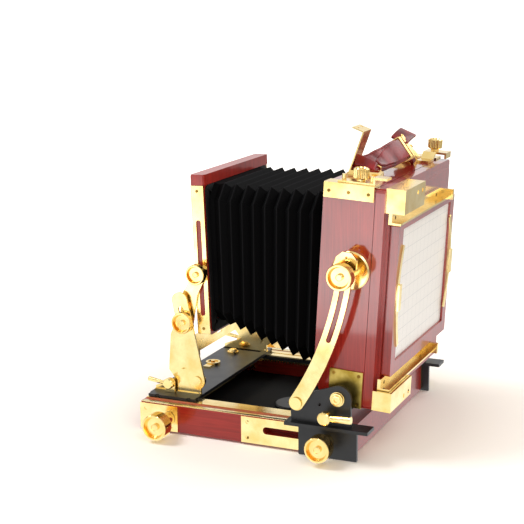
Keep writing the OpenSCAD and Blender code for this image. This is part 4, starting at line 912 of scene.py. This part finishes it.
def makeLamps():
    for name, lamp in lamps.items():
        light = bpy.data.lights.new(name, "AREA")
        light.size, light.energy, light.color = lamp["size"], lamp["power"], toLinear(lamp["colour"])[:3]
        obj = bpy.data.objects.new(name, light)
        obj.location = lamp["place"]
        obj.rotation_euler = (Vector((0, 0, 0.1)) - Vector(lamp["place"])).to_track_quat("-Z", "Y").to_euler()
        bpy.context.scene.collection.objects.link(obj)
    for name, card in cards.items():
        light = bpy.data.lights.new(name, "AREA")
        light.shape, light.size, light.size_y = "RECTANGLE", card["size"][0], card["size"][1]
        light.energy = card["shine"] * pi * card["size"][0] * card["size"][1]
        obj = bpy.data.objects.new(name, light)
        obj.location, obj.rotation_euler = card["place"], (pi, 0, 0)
        obj.visible_diffuse = False
        bpy.context.scene.collection.objects.link(obj)


studio = {"light": 0.58, "ambient": "fff0e0"}


def makeWorld():
    world = bpy.data.worlds.new("studio")
    bpy.context.scene.world = world
    world.use_nodes = True
    tree = world.node_tree
    tree.nodes.clear()
    path = addNode(tree, "ShaderNodeLightPath")
    direct, through = path.outputs["Is Camera Ray"], path.outputs["Is Transmission Ray"]
    seen = addNode(tree, "ShaderNodeMath", links={0: direct, 1: through}, operation="MAXIMUM").outputs[0]
    # what shiny pieces mirror: white all round, and a dimmer ceiling that is white only straight above
    space = addNode(tree, "ShaderNodeTexCoord").outputs["Generated"]
    height = addNode(tree, "ShaderNodeSeparateXYZ", links={"Vector": space}).outputs["Z"]
    upward = addNode(tree, "ShaderNodeMapRange", {"From Min": -1.0, "From Max": 1.0},
                     {"Value": height}).outputs["Result"]
    walls = addNode(tree, "ShaderNodeValToRGB", links={"Fac": upward},
                    stops=[(0.0, "ffffff"), (0.7999, "ffffff"), (0.8, "afafaf"), (1.0, "ffffff")]).outputs["Color"]
    polish = path.outputs["Is Glossy Ray"]
    glossy = addNode(tree, "ShaderNodeMix", {2: studio["light"]}, {0: polish, 3: walls}, data_type="FLOAT")
    strength = addNode(tree, "ShaderNodeMix", {3: 1.0}, {0: seen, 2: glossy.outputs[0]}, data_type="FLOAT").outputs[0]
    plain = addNode(tree, "ShaderNodeMath", links={0: seen, 1: polish}, operation="MAXIMUM").outputs[0]
    tint = addNode(tree, "ShaderNodeMix", {6: toLinear(studio["ambient"]), 7: (1, 1, 1, 1)}, {0: plain},
                   data_type="RGBA").outputs[2]
    background = addNode(tree, "ShaderNodeBackground", links={"Strength": strength, "Color": tint})
    addNode(tree, "ShaderNodeOutputWorld", links={"Surface": background.outputs["Background"]})


# how far from the middle the paper's painted glow starts and stops to change, as seen and as mirrored
paper = {"colour": "f6f4f1", "seen": {"From Min": 0.13, "From Max": 0.45, "To Min": 0.04, "To Max": 0.8},
         "mirrored": {"From Min": 0.2, "From Max": 0.8, "To Min": 1.3, "To Max": 0.55}}


def makeFloor():
    deselect()
    bpy.ops.mesh.primitive_plane_add(size=30, location=(0, 0, -0.0002))
    floor = bpy.context.object
    floor.name = "floor"
    # paper, white, with painted light: for the camera it glows more the further it is from the middle, so it fades out
    # of the picture and its shadow shows only near the object; in the polish it is a painted glow, bright close by and
    # dimmer further off
    material = bpy.data.materials.new("paper, white")
    material.use_nodes = True
    tree = material.node_tree
    tree.nodes.clear()
    path = addNode(tree, "ShaderNodeLightPath")
    matt = addNode(tree, "ShaderNodeBsdfDiffuse", {"Color": toLinear(paper["colour"])})
    place = addNode(tree, "ShaderNodeTexCoord").outputs["Object"]
    away = addNode(tree, "ShaderNodeVectorMath", links={0: place}, operation="LENGTH").outputs["Value"]
    paintedLift = addNode(tree, "ShaderNodeMapRange", paper["seen"], {"Value": away})
    glow = addNode(tree, "ShaderNodeMath", links={0: path.outputs["Is Camera Ray"], 1: paintedLift.outputs["Result"]},
                   operation="MULTIPLY").outputs[0]
    shine = addNode(tree, "ShaderNodeEmission", {"Color": (1, 1, 1, 1)}, {"Strength": glow})
    both = addNode(tree, "ShaderNodeAddShader", links={0: matt.outputs["BSDF"], 1: shine.outputs["Emission"]})
    mirroredGlowRamp = addNode(tree, "ShaderNodeMapRange", paper["mirrored"], {"Value": away})
    paintedReflection = addNode(tree, "ShaderNodeEmission", {"Color": (1, 1, 1, 1)}, {"Strength": mirroredGlowRamp.outputs["Result"]})
    sheet = addNode(tree, "ShaderNodeMixShader", links={0: path.outputs["Is Glossy Ray"], 1: both.outputs["Shader"],
                                                        2: paintedReflection.outputs["Emission"]})
    addNode(tree, "ShaderNodeOutputMaterial", links={"Surface": sheet.outputs["Shader"]})
    floor.data.materials.append(material)


makeCamera()
makeLamps()
makeWorld()
makeFloor()
bpy.context.scene.view_settings.view_transform = "Standard"
print("camera, lamps and floor placed")
